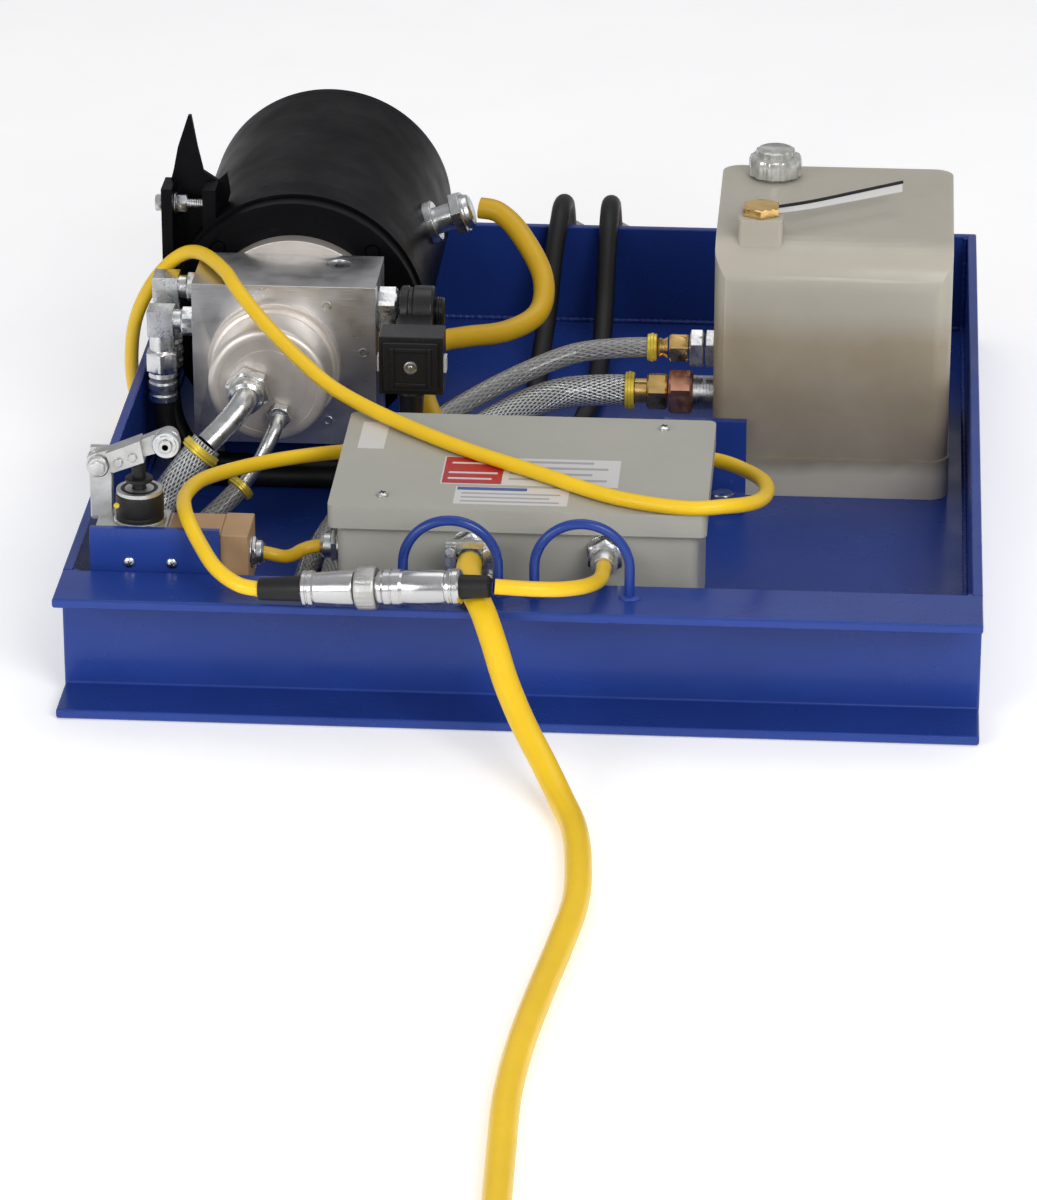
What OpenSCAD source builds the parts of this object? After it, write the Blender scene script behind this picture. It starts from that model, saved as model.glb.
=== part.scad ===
// Hydraulic power unit: motor, gear pump, valve block, oil tank and control box in an open steel pan.
// The origin is on the ground at the middle of the pan's four bolt holes. +Y runs to the back, +Z up.

/* [Pan] */
// Outside width of the pan
pan_w = 536; // [532:1:544]
// Outside depth of the pan
pan_d = 660; // [658:1:664]
// Height of the front channel and of the rails
rail_h = 76; // [74:1:78]
// Thickness of the rails and of the channel
rail_t = 6; // [5:0.5:7]
// Thickness of the floor plate
floor_t = 8; // [6:1:9]
// Width of the channel's flanges
flange_d = 44; // [42:1:46]
// Radius of the four bolt holes
bolt_hole_r = 5.5; // [4.5:0.5:7]
// Spacing of the bolt holes from side to side
bolt_x = 470; // [460:1:480]
// Spacing of the bolt holes from front to back
bolt_y = 500; // [490:1:510]

/* [Motor and pump] */
// Radius of the motor
motor_r = 81; // [78:0.5:81]
// Height of the motor's axis
axis_z = 97; // [97:1:97]
// Place of the motor's axis from side to side
axis_x = -169; // [-169:1:-169]
// Length of the motor
motor_l = 232; // [220:1:236]
// Width of the valve block
block_w = 116; // [114:1:118]
// Height of the valve block
block_h = 106; // [104:1:108]
// Radius of the pump's cover
cover_r = 38; // [37:0.5:38.5]
// Number of teeth on each pump gear
gear_teeth = 9; // [9:1:9]
// Distance between the two gear shafts
gear_gap = 18; // [18:1:18]

/* [Tank] */
// Width of the oil tank
tank_w = 149; // [140:1:151]
// Depth of the oil tank
tank_d = 160; // [150:1:168]
// Height of the oil tank
tank_h = 165; // [160:1:170]
// Wall of the oil tank
tank_t = 3; // [2.5:0.5:4]
// Radius of the tank's front top edge
tank_round = 28; // [20:1:32]

/* [Control box] */
// Width of the control box's lid
lid_w = 222; // [220:1:224]
// Depth of the control box's lid
lid_d = 150; // [148:1:151]
// Height of the lid's top above the ground
lid_z = 110; // [109:0.5:110]
// Wall of the control box
box_t = 2.5; // [2:0.5:3]

/* [Moving parts] */
// Radius of the motor's shaft
shaft_r = 10; // [9:0.5:10]
// Radial clearance of shafts in their bearings
run_fit = 0.05; // [0.02:0.01:0.08]
// Gap between sliding parts
slide_gap = 0.4; // [0.35:0.05:0.5]
// Radius of the switch's roller
roller_r = 8; // [7:0.5:8]
// Radius of the pendant's buttons
button_r = 9; // [8:0.5:9]

/* [Hoses and cords] */
// Diameter of the suction hose
suction_d = 20; // [18:1:20]
// Diameter of the return hose
return_d = 13; // [12:1:13]
// Diameter of the two pressure hoses
pressure_d = 13; // [12:1:13]
// Diameter of the power cord
power_d = 15; // [14:0.5:15]
// Diameter of the pendant cord, the pigtail and the thin leads
thin_d = 9; // [8:0.5:9]
// Diameter of the motor's lead
motor_lead_d = 14; // [12:0.5:14]

/* [Hidden] */

$fn = 64;

BLUE = [0.08, 0.16, 0.55];
BLACK = [0.06, 0.06, 0.06];
ZINC = [0.72, 0.73, 0.74];
ALUMINIUM = [0.66, 0.67, 0.68];
BRASS = [0.80, 0.64, 0.28];
YELLOW = [0.93, 0.75, 0.10];
GREY = [0.70, 0.71, 0.67];
NATURAL = [0.80, 0.77, 0.68];

// Pan
half_w = pan_w / 2;
half_d = pan_d / 2;
web_y = -half_d + flange_d;
inner_w = half_w - rail_t;

// Motor, block and pump, from front to back along Y
block_y0 = 2;
block_y1 = 60;
block_z0 = axis_z - 55;
block_x1 = axis_x + block_w / 2;
block_x0 = axis_x - block_w / 2;
adapter_y1 = 71;
adapter_r = 60;
motor_y0 = adapter_y1;
motor_y1 = motor_y0 + motor_l;
bell_t = 8;
bearing_w = 12;
bearing_r = 20;
bearing_front_y = motor_y0 + bell_t + 2;
bearing_rear_y = motor_y1 - bell_t - 2 - bearing_w;
shell_t = 4;
pump_shaft_r = 6;
idler_shaft_r = 5;
idler_x = axis_x - gear_gap;
recess_y = 8;
cavity_r = 10.9;
gear_y0 = -13.5;
gear_y1 = 7.5;
cover_x = axis_x - 6;
cover_z = axis_z - 1;
cover_y = -38;
suction_port = [-187, 95];
return_port = [-168, 78];

// Valve on the block's right side
valve_y = 20;
valve_z = 127;
valve_x = block_x1;
tube_x1 = -72;
plunger_r = 4;

// Pressure ports on the block's left side: [y, z, lowest point of the hose end]
elbow_x = -248;
elbows = [[15, 118, 64], [45, 130, 76]];

// Tank and its ports
tank_x0 = 100;
tank_y0 = 21;
tank_z0 = floor_t;
tank_z1 = tank_z0 + tank_h;
port_y = 60;
suction_z = 61;
return_z = 91;
neck = [134, 161];
plug_at = [128, 49];
boss_z = tank_z1 + 14;

// Control box
box_mid = -4;
lid_y0 = -261;
lid_y1 = lid_y0 + lid_d;
lid_skirt = 14;
lid_t = 3;
box_x = lid_w / 2 - 5;
box_y0 = lid_y0 + 6;
box_y1 = lid_y1 - 6;
box_rim = lid_z - lid_t;
lid_screws = [for (x = [-80, 80], y = [-243, -127]) [box_mid + x, y]];
power_gland = [-30, 83.6];
signal_gland = [48, 83.5];
switch_gland = [-240, 76];

// Limit switch
pivot = [-248, 133];
roller_at = [-207, 150];
switch_y = -260;

// Plug-in connector, its axis tilted up where it lies over the power cord
con_at = [-121.5, -331, 87.6];
con_tilt = 5;
con_turn = -6;
con_l = 93;

// Pendant, lying on its back behind the pan
pendant_at = [215, 422, 0];
pendant_l = 150;
pendant_w = 46;
pendant_h = 32;
up_x = pendant_at[0] - 62;
down_x = pendant_at[0] - 102;

// Power cord's coil and plug
coil_at = [120.5, -1016, 0];
coil_mid_r = 82;
plug_x = 178;
plug_y = -1114;
plug_z = 20;

// Routes: points along the middle of each hose, lead and cord
power_route = [
    [-30, -279, 83.6], [-29.5, -296, 84.2], [-27, -313, 84.4], [-22.5, -328, 84], [-17, -341, 79.5],
    [-10, -356, 67.5], [-2, -372, 51], [9, -390, 34], [22, -412, 20], [33, -436, 10.5], [43, -470, 8],
    [48, -515, 8], [49, -560, 8], [44, -610, 8], [37, -665, 8], [31, -720, 8], [28, -775, 8],
    [29, -830, 8], [31, -900, 8], [31, -985, 8],
];
pendant_route = [
    [-147.3, -328.3, 85.3], [-160, -325, 86.5], [-174, -314, 91.5], [-185, -298, 99.5],
    [-194, -280, 106.8], [-200, -254, 106],
    [-202, -226, 101], [-198, -194, 96], [-185, -163, 90], [-160, -132, 85], [-125, -109, 82],
    [-80, -98, 82], [-30, -94, 82], [30, -94, 82], [75, -98, 82], [107, -108, 83], [127, -132, 86],
    [138, -168, 94], [140, -208, 103], [134, -238, 110], [118, -256, 114.5], [92, -261, 115],
    [50, -246, 114.8], [4, -212, 114.8], [-44, -176, 114.8], [-88, -136, 115.5],
    [-125, -100, 119], [-150, -74, 128], [-176, -44, 141], [-196, -14, 151.5], [-206, 8, 154.5],
    [-222, 38, 154], [-236, 56, 149], [-250, 65, 137], [-264, 72, 117], [-275, 84, 90], [-281, 104, 55],
    [-283, 132, 22], [-283, 165, 7], [-283, 200, 4.8], [-283, 250, 4.8], [-281, 295, 4.8],
    [-275, 330, 5.5], [-258, 346, 9], [-236, 350, 13.5],
];
pendant_tail = [
    [214, 350, 13.5], [224, 350, 13.5], [240, 355, 13], [252, 370, 13.5], [254, 390, 14.5], [246, 408, 15.5],
    [232, 419, 16], [216, 422, 16],
];
pigtail_route = [
    [48, -279, 83.5], [48, -291, 84.3], [46, -305, 86], [39, -321, 89.5], [26, -334, 93],
    [9, -341, 95.8], [-10.5, -342.7, 97.4],
];
suction_route = [
    [49, 60, 61], [30, 60, 61], [2, 54, 60], [-26, 34, 56], [-52, 4, 49], [-78, -30, 40],
    [-100, -66, 30], [-115, -102, 21.5], [-121, -134, 18.5], [-122, -162, 18.5], [-130.6, -194, 18.5],
    [-154, -217.4, 18.5], [-186, -226, 18.5], [-218, -217.4, 18.5], [-241.4, -194, 18.5], [-250, -162, 18.5],
    [-250, -130, 20], [-246, -108, 26], [-236, -92, 39], [-225, -85, 53], [-215, -80, 65], [-209, -77, 72],
];
return_route = [
    [63, 60, 91], [40, 60, 90], [10, 58, 86], [-22, 44, 77], [-54, 20, 67], [-81, -8, 57],
    [-107, -44, 43], [-129, -84, 26], [-140, -122, 16], [-142, -156, 15], [-148, -181, 15],
    [-164, -198, 15], [-186, -204, 15], [-208, -198, 15], [-224, -181, 15], [-230, -156, 15],
    [-230, -126, 16], [-221, -102, 19], [-208, -86, 26], [-197, -76, 34], [-188, -69, 42],
];
pressure_front_route = [
    [-248, 15, 64], [-247, 15, 48], [-240, 14, 30], [-226, 13, 18], [-206, 12, 15], [-150, 12, 15],
    [-90, 14, 15], [-45, 26, 15], [-12, 54, 15], [8, 100, 15], [16, 160, 15], [18, 220, 18],
    [18, 266, 37], [18, 300, 66], [18, 318, 80], [18, 336, 86], [18, 356, 81], [18, 376, 61],
    [18, 394, 36], [18, 414, 17], [18, 434, 11], [18, 452, 10.5],
];
pressure_back_route = [
    [-248, 45, 76], [-248, 44, 58], [-244, 41, 38], [-232, 37, 21], [-212, 34, 15], [-150, 34, 15],
    [-95, 36, 15], [-58, 50, 15], [-34, 82, 15], [-24, 130, 15], [-22, 180, 15], [-22, 224, 19],
    [-20, 266, 37], [-18, 300, 66], [-16, 318, 80], [-15, 336, 86], [-14, 356, 81], [-14, 376, 61],
    [-14, 394, 36], [-14, 414, 17], [-14, 434, 11], [-14, 452, 10.5],
];
motor_lead_route = [
    [-60, 190, 136], [-47, 187, 134], [-32, 174, 124], [-16, 150, 104], [-17, 126, 88],
    [-36, 106, 82], [-62, 88, 84], [-78, 70, 86], [-85, 44, 81], [-83, 16, 76], [-77, -10, 72],
    [-68, -42, 70],
    [-57, -76, 69], [-50, -103, 68],
];
valve_lead_route = [
    [-86, -33, 79], [-86, -36, 72], [-86, -46, 64], [-84, -62, 60], [-80, -84, 60], [-78, -105, 60],
];
switch_lead_route = [
    [-152, -262, 80], [-146, -261.3, 78.2], [-140.5, -258, 75.8], [-136.5, -251, 74], [-132.5, -244, 74],
    [-127, -240.7, 75], [-121, -240, 76],
];
suction_tube_route = [
    [-187, -50, 95], [-188, -58, 93], [-193, -65, 87], [-201, -71, 79], [-209, -77, 72],
];
return_tube_route = [
    [-168, -46, 78], [-169, -53, 74], [-173, -59, 66], [-180, -64, 53], [-188, -69, 42],
];

// ---------- Helpers ----------

module rod_x(y, z, x0, x1, r) translate([x0, y, z]) rotate([0, 90, 0]) cylinder(h = x1 - x0, r = r);
module rod_y(x, z, y0, y1, r) translate([x, y0, z]) rotate([-90, 0, 0]) cylinder(h = y1 - y0, r = r);
module rod_z(x, y, z0, z1, r) translate([x, y, z0]) cylinder(h = z1 - z0, r = r);

// Hexagonal lengths, given across their flats
function hex_r(flats) = flats / sqrt(3);
module hex_x(y, z, x0, x1, flats) translate([x0, y, z]) rotate([0, 90, 0])
    cylinder(h = x1 - x0, r = hex_r(flats), $fn = 6);
module hex_y(x, z, y0, y1, flats) translate([x, y0, z]) rotate([-90, 0, 0])
    cylinder(h = y1 - y0, r = hex_r(flats), $fn = 6);
module hex_z(x, y, z0, z1, flats) translate([x, y, z0]) cylinder(h = z1 - z0, r = hex_r(flats), $fn = 6);

// A block from one corner to the other
module block(a, b) translate(a) cube(b - a);

// A block whose four upright edges are rounded
module soft_block(a, b, r) {
    block([a[0] + r, a[1], a[2]], [b[0] - r, b[1], b[2]]);
    block([a[0], a[1] + r, a[2]], [b[0], b[1] - r, b[2]]);
    for (x = [a[0] + r, b[0] - r], y = [a[1] + r, b[1] - r]) rod_z(x, y, a[2], b[2], r);
}

// A ring along Y
module ring_y(x, z, y0, y1, r_out, r_in) difference() {
    rod_y(x, z, y0, y1, r_out);
    rod_y(x, z, y0 - 1, y1 + 1, r_in);
}

function unit(v) = v / norm(v);

// A smooth curve through a route's points, with a number of steps from each point to the next
function curve_at(a, b, c, d, t) =
    0.5 * (2 * b + (c - a) * t + (2 * a - 5 * b + 4 * c - d) * t * t + (3 * b - a - 3 * c + d) * t * t * t);
function smooth(p, steps) = let (n = len(p)) [
    for (i = [0 : n - 2], k = [0 : steps - 1])
        curve_at(p[max(i - 1, 0)], p[i], p[i + 1], p[min(i + 2, n - 1)], k / steps),
    p[n - 1]
];
function heading(p, i) = unit(p[min(i + 1, len(p) - 1)] - p[max(i - 1, 0)]);
function square_to(v, t) = unit(v - (v * t) * t);

// A closed tube of one diameter along a route
module tube(route, d, sides, steps) {
    p = smooth(route, steps);
    n = len(p);
    first = square_to([0.31, 0.27, 0.91], heading(p, 0));
    side = [for (i = 0, s = first; i < n; i = i + 1, s = i < n ? square_to(s, heading(p, i)) : s) s];
    rings = [
        for (i = [0 : n - 1], k = [0 : sides - 1])
            let (a = 360 * k / sides, u = side[i], w = cross(heading(p, i), u))
                p[i] + d / 2 * (cos(a) * u + sin(a) * w)
    ];
    walls = [
        for (i = [0 : n - 2], k = [0 : sides - 1])
            let (a = i * sides + k, b = i * sides + (k + 1) % sides)
                [b, a, a + sides, b + sides]
    ];
    near = [for (k = [0 : sides - 1]) k];
    far = [for (k = [sides - 1 : -1 : 0]) (n - 1) * sides + k];
    polyhedron(points = rings, faces = concat(walls, [near, far]));
}

// Lays something built along +Z so that it starts at a place and runs along a direction
module aim(at, dir) {
    u = unit(dir);
    translate(at) rotate([0, acos(u[2]), atan2(u[1], u[0])]) children();
}

// ---------- Pan ----------

module pan_floor() color(BLUE) difference() {
    block([-inner_w, web_y, 0], [inner_w, half_d - rail_t, floor_t]);
    for (x = [-bolt_x / 2, bolt_x / 2], y = [-bolt_y / 2, bolt_y / 2])
        rod_z(x, y, -1, floor_t + 1, bolt_hole_r);
}

module front_channel() color(BLUE) {
    block([-half_w, web_y - rail_t, 0], [half_w, web_y, rail_h]);
    block([-half_w, -half_d, 0], [half_w, web_y, rail_t]);
    block([-half_w, -half_d, rail_h - rail_t], [half_w, web_y, rail_h]);
}

module pan_rails() color(BLUE) {
    for (x = [-half_w, inner_w]) block([x, web_y, 0], [x + rail_t, half_d - rail_t, rail_h]);
    block([-half_w, half_d - rail_t, 0], [half_w, half_d, rail_h]);
}

// Bent rods that keep feet and loads off the two front cord outlets
ring_x = [-39, 37];
ring_y0 = -305;
ring_mid_r = 27.5;
ring_rod_r = 3;
ring_leg = 18;
module guard_ring(x) translate([x, ring_y0, rail_h]) {
    for (side = [-ring_mid_r, ring_mid_r]) rod_z(side, 0, 0, ring_leg, ring_rod_r);
    translate([0, 0, ring_leg]) rotate([90, 0, 0]) rotate_extrude(angle = 180)
        translate([ring_mid_r, 0]) circle(r = ring_rod_r);
}
module guard_rings() color(BLUE) for (x = ring_x) guard_ring(x);

// Tank stop, pump pedestal, motor saddle and switch bracket
module brackets() color(BLUE) {
    block([70, 13, floor_t], [122, 19, 60]);
    block([70, -14, floor_t], [122, 13, floor_t + 4]);
    block([-214, 46, floor_t], [-124, 56, block_z0]);
    block([-214, 56, floor_t], [-124, 80, floor_t + 5]);
    difference() {
        block([axis_x - 42, 120, floor_t], [axis_x + 42, 180, 40]);
        rod_y(axis_x, axis_z, 119, 181, motor_r + 0.2);
    }
    difference() {
        block([-252, -282, floor_t], [-176, -278, 101]);
        for (x = [-229, -204]) rod_y(x, 80, -283, -277, 2.1);
    }
}

// ---------- Motor ----------

module motor_shell() color(BLACK)
    ring_y(axis_x, axis_z, motor_y0 + bell_t, motor_y1 - bell_t, motor_r, motor_r - shell_t);

// An end bell: a disc with a spigot that fits in the shell and holds a bearing
module bell(face_y, in_dir, hole_r) {
    spigot_l = 12;
    pocket_l = 14;
    a = min(face_y, face_y + in_dir * bell_t);
    s = face_y + in_dir * bell_t;
    p = face_y + in_dir * (bell_t + 2);
    difference() {
        union() {
            rod_y(axis_x, axis_z, a, a + bell_t, motor_r);
            rod_y(axis_x, axis_z, min(s, s + in_dir * spigot_l), max(s, s + in_dir * spigot_l),
                  motor_r - shell_t - 0.1);
        }
        rod_y(axis_x, axis_z, min(p, p + in_dir * pocket_l), max(p, p + in_dir * pocket_l), bearing_r + 0.02);
        rod_y(axis_x, axis_z, face_y - 20, face_y + 20, hole_r);
    }
}
module motor_front_bell() color(BLACK) difference() {
    bell(motor_y0, 1, 17);
    for (a = [45 : 90 : 315])
        rod_y(axis_x + 70 * cos(a), axis_z + 70 * sin(a), motor_y0 - 1, motor_y0 + 3, 5);
}
module motor_rear_bell() color(BLACK) {
    difference() {
        bell(motor_y1, -1, 4);
        rod_y(axis_x, axis_z, motor_y1 - 2, motor_y1 + 1, 30);
    }
    rod_y(axis_x, axis_z, motor_y1 - 2, motor_y1 - 0.5, 29.9);
}

core_y0 = 118;
core_y1 = 256;
winding_l = 20;
air_gap = 1;
rotor_r = 47;
module motor_stator() color("saddlebrown") {
    ring_y(axis_x, axis_z, core_y0, core_y1, motor_r - shell_t - 0.1, rotor_r + air_gap);
    for (y = [core_y0 - winding_l, core_y1]) ring_y(axis_x, axis_z, y, y + winding_l, 71, 52);
}

module motor_rotor() color(ZINC) {
    rod_y(axis_x, axis_z, core_y0 + 2, core_y1 - 2, rotor_r);
    for (y = [core_y0 - 8, core_y1 - 2]) rod_y(axis_x, axis_z, y, y + 10, rotor_r - 5);
    rod_y(axis_x, axis_z, 58, bearing_rear_y + bearing_w - 1, shaft_r);
}

module motor_bearings() color(ZINC)
    for (y = [bearing_front_y, bearing_rear_y])
        ring_y(axis_x, axis_z, y, y + bearing_w, bearing_r, shaft_r + run_fit);

// Steel band round the motor, drawn tight by a bolt through two lugs; a pointed lug stands up beside it
strap_y0 = 84;
strap_w = 24;
strap_t = 2;
module motor_strap() color(BLACK) {
    y1 = strap_y0 + strap_w;
    difference() {
        union() {
            rod_y(axis_x, axis_z, strap_y0, y1, motor_r + strap_t);
            block([-256, strap_y0, axis_z + 8], [-249, y1, axis_z + 84]);
            block([-229.5, strap_y0, axis_z + 53], [-221, y1, axis_z + 84]);
            translate([0, y1, 0]) rotate([90, 0, 0]) linear_extrude(4) polygon([
                [-256, 120], [-256, 165], [-250, 188], [-247, 203], [-240, 224], [-238, 224], [-234.5, 203],
                [-231, 187], [-222, 181], [-216, 186], [-214, 172], [-225, 130],
            ]);
        }
        rod_y(axis_x, axis_z, strap_y0 - 1, y1 + 1, motor_r + 0.1);
        rod_x(strap_y0 + 12, 168, -260, -220, 3.1);
    }
}

module adapter_ring() color(ALUMINIUM) ring_y(axis_x, axis_z, block_y1, adapter_y1, adapter_r, bearing_r);

coupler_y0 = 38;
coupler_y1 = 74;
coupler_mid = 57;
module shaft_coupler() color("dimgray") difference() {
    rod_y(axis_x, axis_z, coupler_y0, coupler_y1, 15);
    rod_y(axis_x, axis_z, coupler_mid, coupler_y1 + 1, shaft_r + 0.01);
    rod_y(axis_x, axis_z, coupler_y0 - 1, coupler_mid + 1, pump_shaft_r + 0.01);
}

// ---------- Valve block and pump ----------

module manifold_block() color(ALUMINIUM) difference() {
    block([block_x0, block_y0, block_z0], [block_x1, block_y1, block_z0 + block_h]);
    rod_y(axis_x, axis_z, 34, block_y1 + 1, bearing_r);
    rod_y(axis_x, axis_z, block_y0 - 1, 35, pump_shaft_r + run_fit);
    rod_y(idler_x, axis_z, block_y0 - 1, 20, idler_shaft_r + run_fit);
    rod_y(cover_x, cover_z, block_y0 - 1, recess_y, 40.1);
    rod_x(valve_y, valve_z, -152, block_x1 + 1, 8);
    rod_z(-138, 44, 112, block_z0 + block_h + 1, 8);
    for (e = elbows) rod_x(e[0], e[1], block_x0 - 1, block_x0 + 16, 6);
}

module pump_body() color(ALUMINIUM) difference() {
    union() {
        for (x = [axis_x, idler_x]) rod_y(x, axis_z, -24, recess_y, 15.5);
        block([idler_x, -24, axis_z - 15.5], [axis_x, recess_y, axis_z + 15.5]);
    }
    for (x = [axis_x, idler_x]) rod_y(x, axis_z, -14, recess_y + 1, cavity_r);
    rod_y(axis_x, axis_z, -22, -13, pump_shaft_r + run_fit);
    rod_y(idler_x, axis_z, -22, -13, idler_shaft_r + run_fit);
}

// A spur gear's outline, one tooth at the given angle
tooth_root_r = 7.2;
tooth_tip_r = 10.6;
module gear_outline(phase) {
    circle(r = tooth_root_r);
    for (k = [0 : gear_teeth - 1]) rotate(phase + 360 * k / gear_teeth)
        polygon([[6, -1.85], [tooth_root_r + 0.5, -1.75], [9, -1.2], [tooth_tip_r, -0.55],
                 [tooth_tip_r, 0.55], [9, 1.2], [tooth_root_r + 0.5, 1.75], [6, 1.85]]);
}
module gear(x, phase) translate([x, gear_y0, axis_z]) rotate([-90, 0, 0])
    linear_extrude(gear_y1 - gear_y0) gear_outline(phase);

module drive_gear() color("gray") {
    gear(axis_x, 180);
    rod_y(axis_x, axis_z, -21, coupler_mid - 1, pump_shaft_r);
}
module driven_gear() color("gray") {
    gear(idler_x, 180 / gear_teeth);
    rod_y(idler_x, axis_z, -21, 19, idler_shaft_r);
}

module pump_cover() color(ALUMINIUM) difference() {
    translate([cover_x, 0, cover_z]) rotate([-90, 0, 0]) rotate_extrude() difference() {
        union() {
            translate([0, cover_y]) square([cover_r - 4, 8]);
            translate([cover_r - 4, cover_y + 4]) circle(r = 4);
            translate([0, cover_y + 4]) square([cover_r, 34]);
            translate([0, -6]) square([cover_r + 4, 8]);
            translate([0, block_y0 - 0.5]) square([40, recess_y - block_y0 + 0.5]);
        }
        translate([-1, cover_y + 4]) square([35.5, 50]);
        translate([-20, -60]) square([20, 90]);
    }
    rod_y(suction_port[0], suction_port[1], cover_y - 1, cover_y + 5, 8);
    rod_y(return_port[0], return_port[1], cover_y - 1, cover_y + 5, 4);
}

module relief_valve() color("silver") difference() {
    rod_z(-138, 44, 114, block_z0 + block_h - 1, 7.9);
    hex_z(-138, 44, block_z0 + block_h - 6, block_z0 + block_h, 6);
}

module valve_cartridge() color(ZINC) difference() {
    union() {
        rod_x(valve_y, valve_z, -150, valve_x, 7.9);
        hex_x(valve_y, valve_z, valve_x, valve_x + 13, 27);
        rod_x(valve_y, valve_z, valve_x + 13, tube_x1, 6.5);
    }
    rod_x(valve_y, valve_z, -144, tube_x1 - 4, plunger_r + slide_gap);
}
module valve_plunger() color(ZINC) rod_x(valve_y, valve_z, -136, -80, plunger_r);

module solenoid_coil() color(BLACK) difference() {
    union() {
        rod_x(valve_y, valve_z, valve_x + 13.2, -75, 16);
        rod_x(valve_y, valve_z, -75, -69, 9);
        block([-97, -20, 103], [-75, valve_y, 131]);
    }
    rod_x(valve_y, valve_z, valve_x + 13, tube_x1, 6.6);
}

module din_plug() color(BLACK) {
    block([-105, -45, 95], [-65, -20, 133]);
    block([-98, -47, 101], [-72, -45, 127]);
    rod_y(-85, 114, -48.5, -47, 4);
    rod_z(-86, -33, 79, 95, 8);
}

// Zinc-plated elbows, nuts, hose ends and bent tubes
module elbow(e) {
    hex_x(e[0], e[1], block_x0 - 8, block_x0, 17);
    rod_x(e[0], e[1], elbow_x, block_x0 - 8, 7);
    rod_z(elbow_x, e[0], e[2] + 36, e[1] + 8, 8.5);
    hex_z(elbow_x, e[0], e[2] + 20, e[2] + 36, 19);
    rod_z(elbow_x, e[0], e[2], e[2] + 20, 9);
}
module steel_fittings() color(ZINC) {
    for (e = elbows) elbow(e);
    hex_y(suction_port[0], suction_port[1], -50, cover_y, 25);
    tube(suction_tube_route, 15, 12, 2);
    hex_y(return_port[0], return_port[1], -46, cover_y, 14);
    tube(return_tube_route, 9, 12, 2);
    rod_x(port_y, suction_z, 86, tank_x0, 11);
    hex_x(port_y, return_z, 84, tank_x0, 22);
}
module brass_fittings() color(BRASS) {
    hex_x(port_y, suction_z, 71, 86, 27);
    hex_x(port_y, suction_z, 57, 71, 22);
    rod_x(port_y, suction_z, 49, 57, 8);
    hex_x(port_y, return_z, 70, 84, 17);
    rod_x(port_y, return_z, 63, 70, 5.5);
}

// Yellow crimped sleeves over the hoses' ends
module sleeve_at(at, dir, l, r_out, r_in) aim(at, dir) difference() {
    cylinder(h = l, r = r_out);
    translate([0, 0, -1]) cylinder(h = l + 2, r = r_in);
}
module hose_ferrules() color(YELLOW) {
    sleeve_at([43, port_y, suction_z], [1, 0, 0], 6, 12.5, suction_d / 2 + 0.6);
    sleeve_at([57, port_y, return_z], [1, 0, 0], 6, 9, return_d / 2 + 0.5);
    sleeve_at([-214.5, -79.8, 65.6], [6, 3, 7], 6, 12.5, suction_d / 2 + 0.8);
    sleeve_at([-191, -71.2, 39.2], [9, 7, 8], 5, 9, return_d / 2 + 0.8);
}

module suction_hose() color([0.75, 0.76, 0.74]) tube(suction_route, suction_d, 12, 2);
module return_hose() color([0.45, 0.45, 0.46]) tube(return_route, return_d, 10, 2);
module pressure_hose_front() color(BLACK) tube(pressure_front_route, pressure_d, 10, 2);
module pressure_hose_back() color(BLACK) tube(pressure_back_route, pressure_d, 10, 2);

// Crimped ends with swivel nuts, to be screwed to a cylinder
end_y = 452;
module hose_end(x) {
    rod_y(x, 10.5, end_y, end_y + 24, 9);
    difference() {
        hex_y(x, 10.5, end_y + 24, end_y + 42, 18);
        rod_y(x, 10.5, end_y + 28, end_y + 43, 7.1);
    }
}
module hose_ends() color(ZINC) {
    hose_end(18);
    hose_end(-14);
}

// ---------- Tank ----------

// The tank's form, drawn in by a given amount all round
module tank_form(inset) difference() {
    soft_block([tank_x0 + inset, tank_y0 + inset, tank_z0 + inset],
               [tank_x0 + tank_w - inset, tank_y0 + tank_d - inset, tank_z1 - inset], 12 - inset);
    r = tank_round - inset;
    difference() {
        block([tank_x0 - 1, tank_y0 - 1, tank_z1 - tank_round],
              [tank_x0 + tank_w + 1, tank_y0 + tank_round, tank_z1 + 1]);
        rod_x(tank_y0 + tank_round, tank_z1 - tank_round, tank_x0 - 2, tank_x0 + tank_w + 2, r);
    }
}
module tank() color(NATURAL) difference() {
    union() {
        tank_form(0);
        soft_block([tank_x0 - 1, tank_y0 - 2, tank_z0],
                   [tank_x0 + tank_w + 1, tank_y0 + tank_d, tank_z0 + 26], 12);
        soft_block([plug_at[0] - 14, plug_at[1] - 14, tank_z1 - 5],
                   [plug_at[0] + 14, plug_at[1] + 14, boss_z], 3);
        rod_z(neck[0], neck[1], tank_z1 - 2, tank_z1 + 9, 13);
    }
    tank_form(tank_t);
    rod_z(neck[0], neck[1], tank_z1 - 10, tank_z1 + 13, 10);
    rod_z(plug_at[0], plug_at[1], tank_z1 - 10, boss_z + 1, 7);
    rod_x(port_y, suction_z, tank_x0 - 2, tank_x0 + 8, 6);
    rod_x(port_y, return_z, tank_x0 - 2, tank_x0 + 8, 5);
}

module filler_cap() color([0.8, 0.8, 0.8]) difference() {
    union() {
        rod_z(neck[0], neck[1], tank_z1 + 1, tank_z1 + 14, 16);
        rod_z(neck[0], neck[1], tank_z1 + 14, tank_z1 + 18, 12);
        for (a = [0 : 30 : 330])
            rotate_about(neck, a) block([14, -1.5, tank_z1 + 2], [17.2, 1.5, tank_z1 + 12]);
    }
    rod_z(neck[0], neck[1], tank_z1, tank_z1 + 11, 13 + slide_gap);
}
module rotate_about(centre, a) translate([centre[0], centre[1], 0]) rotate(a) children();

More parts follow.
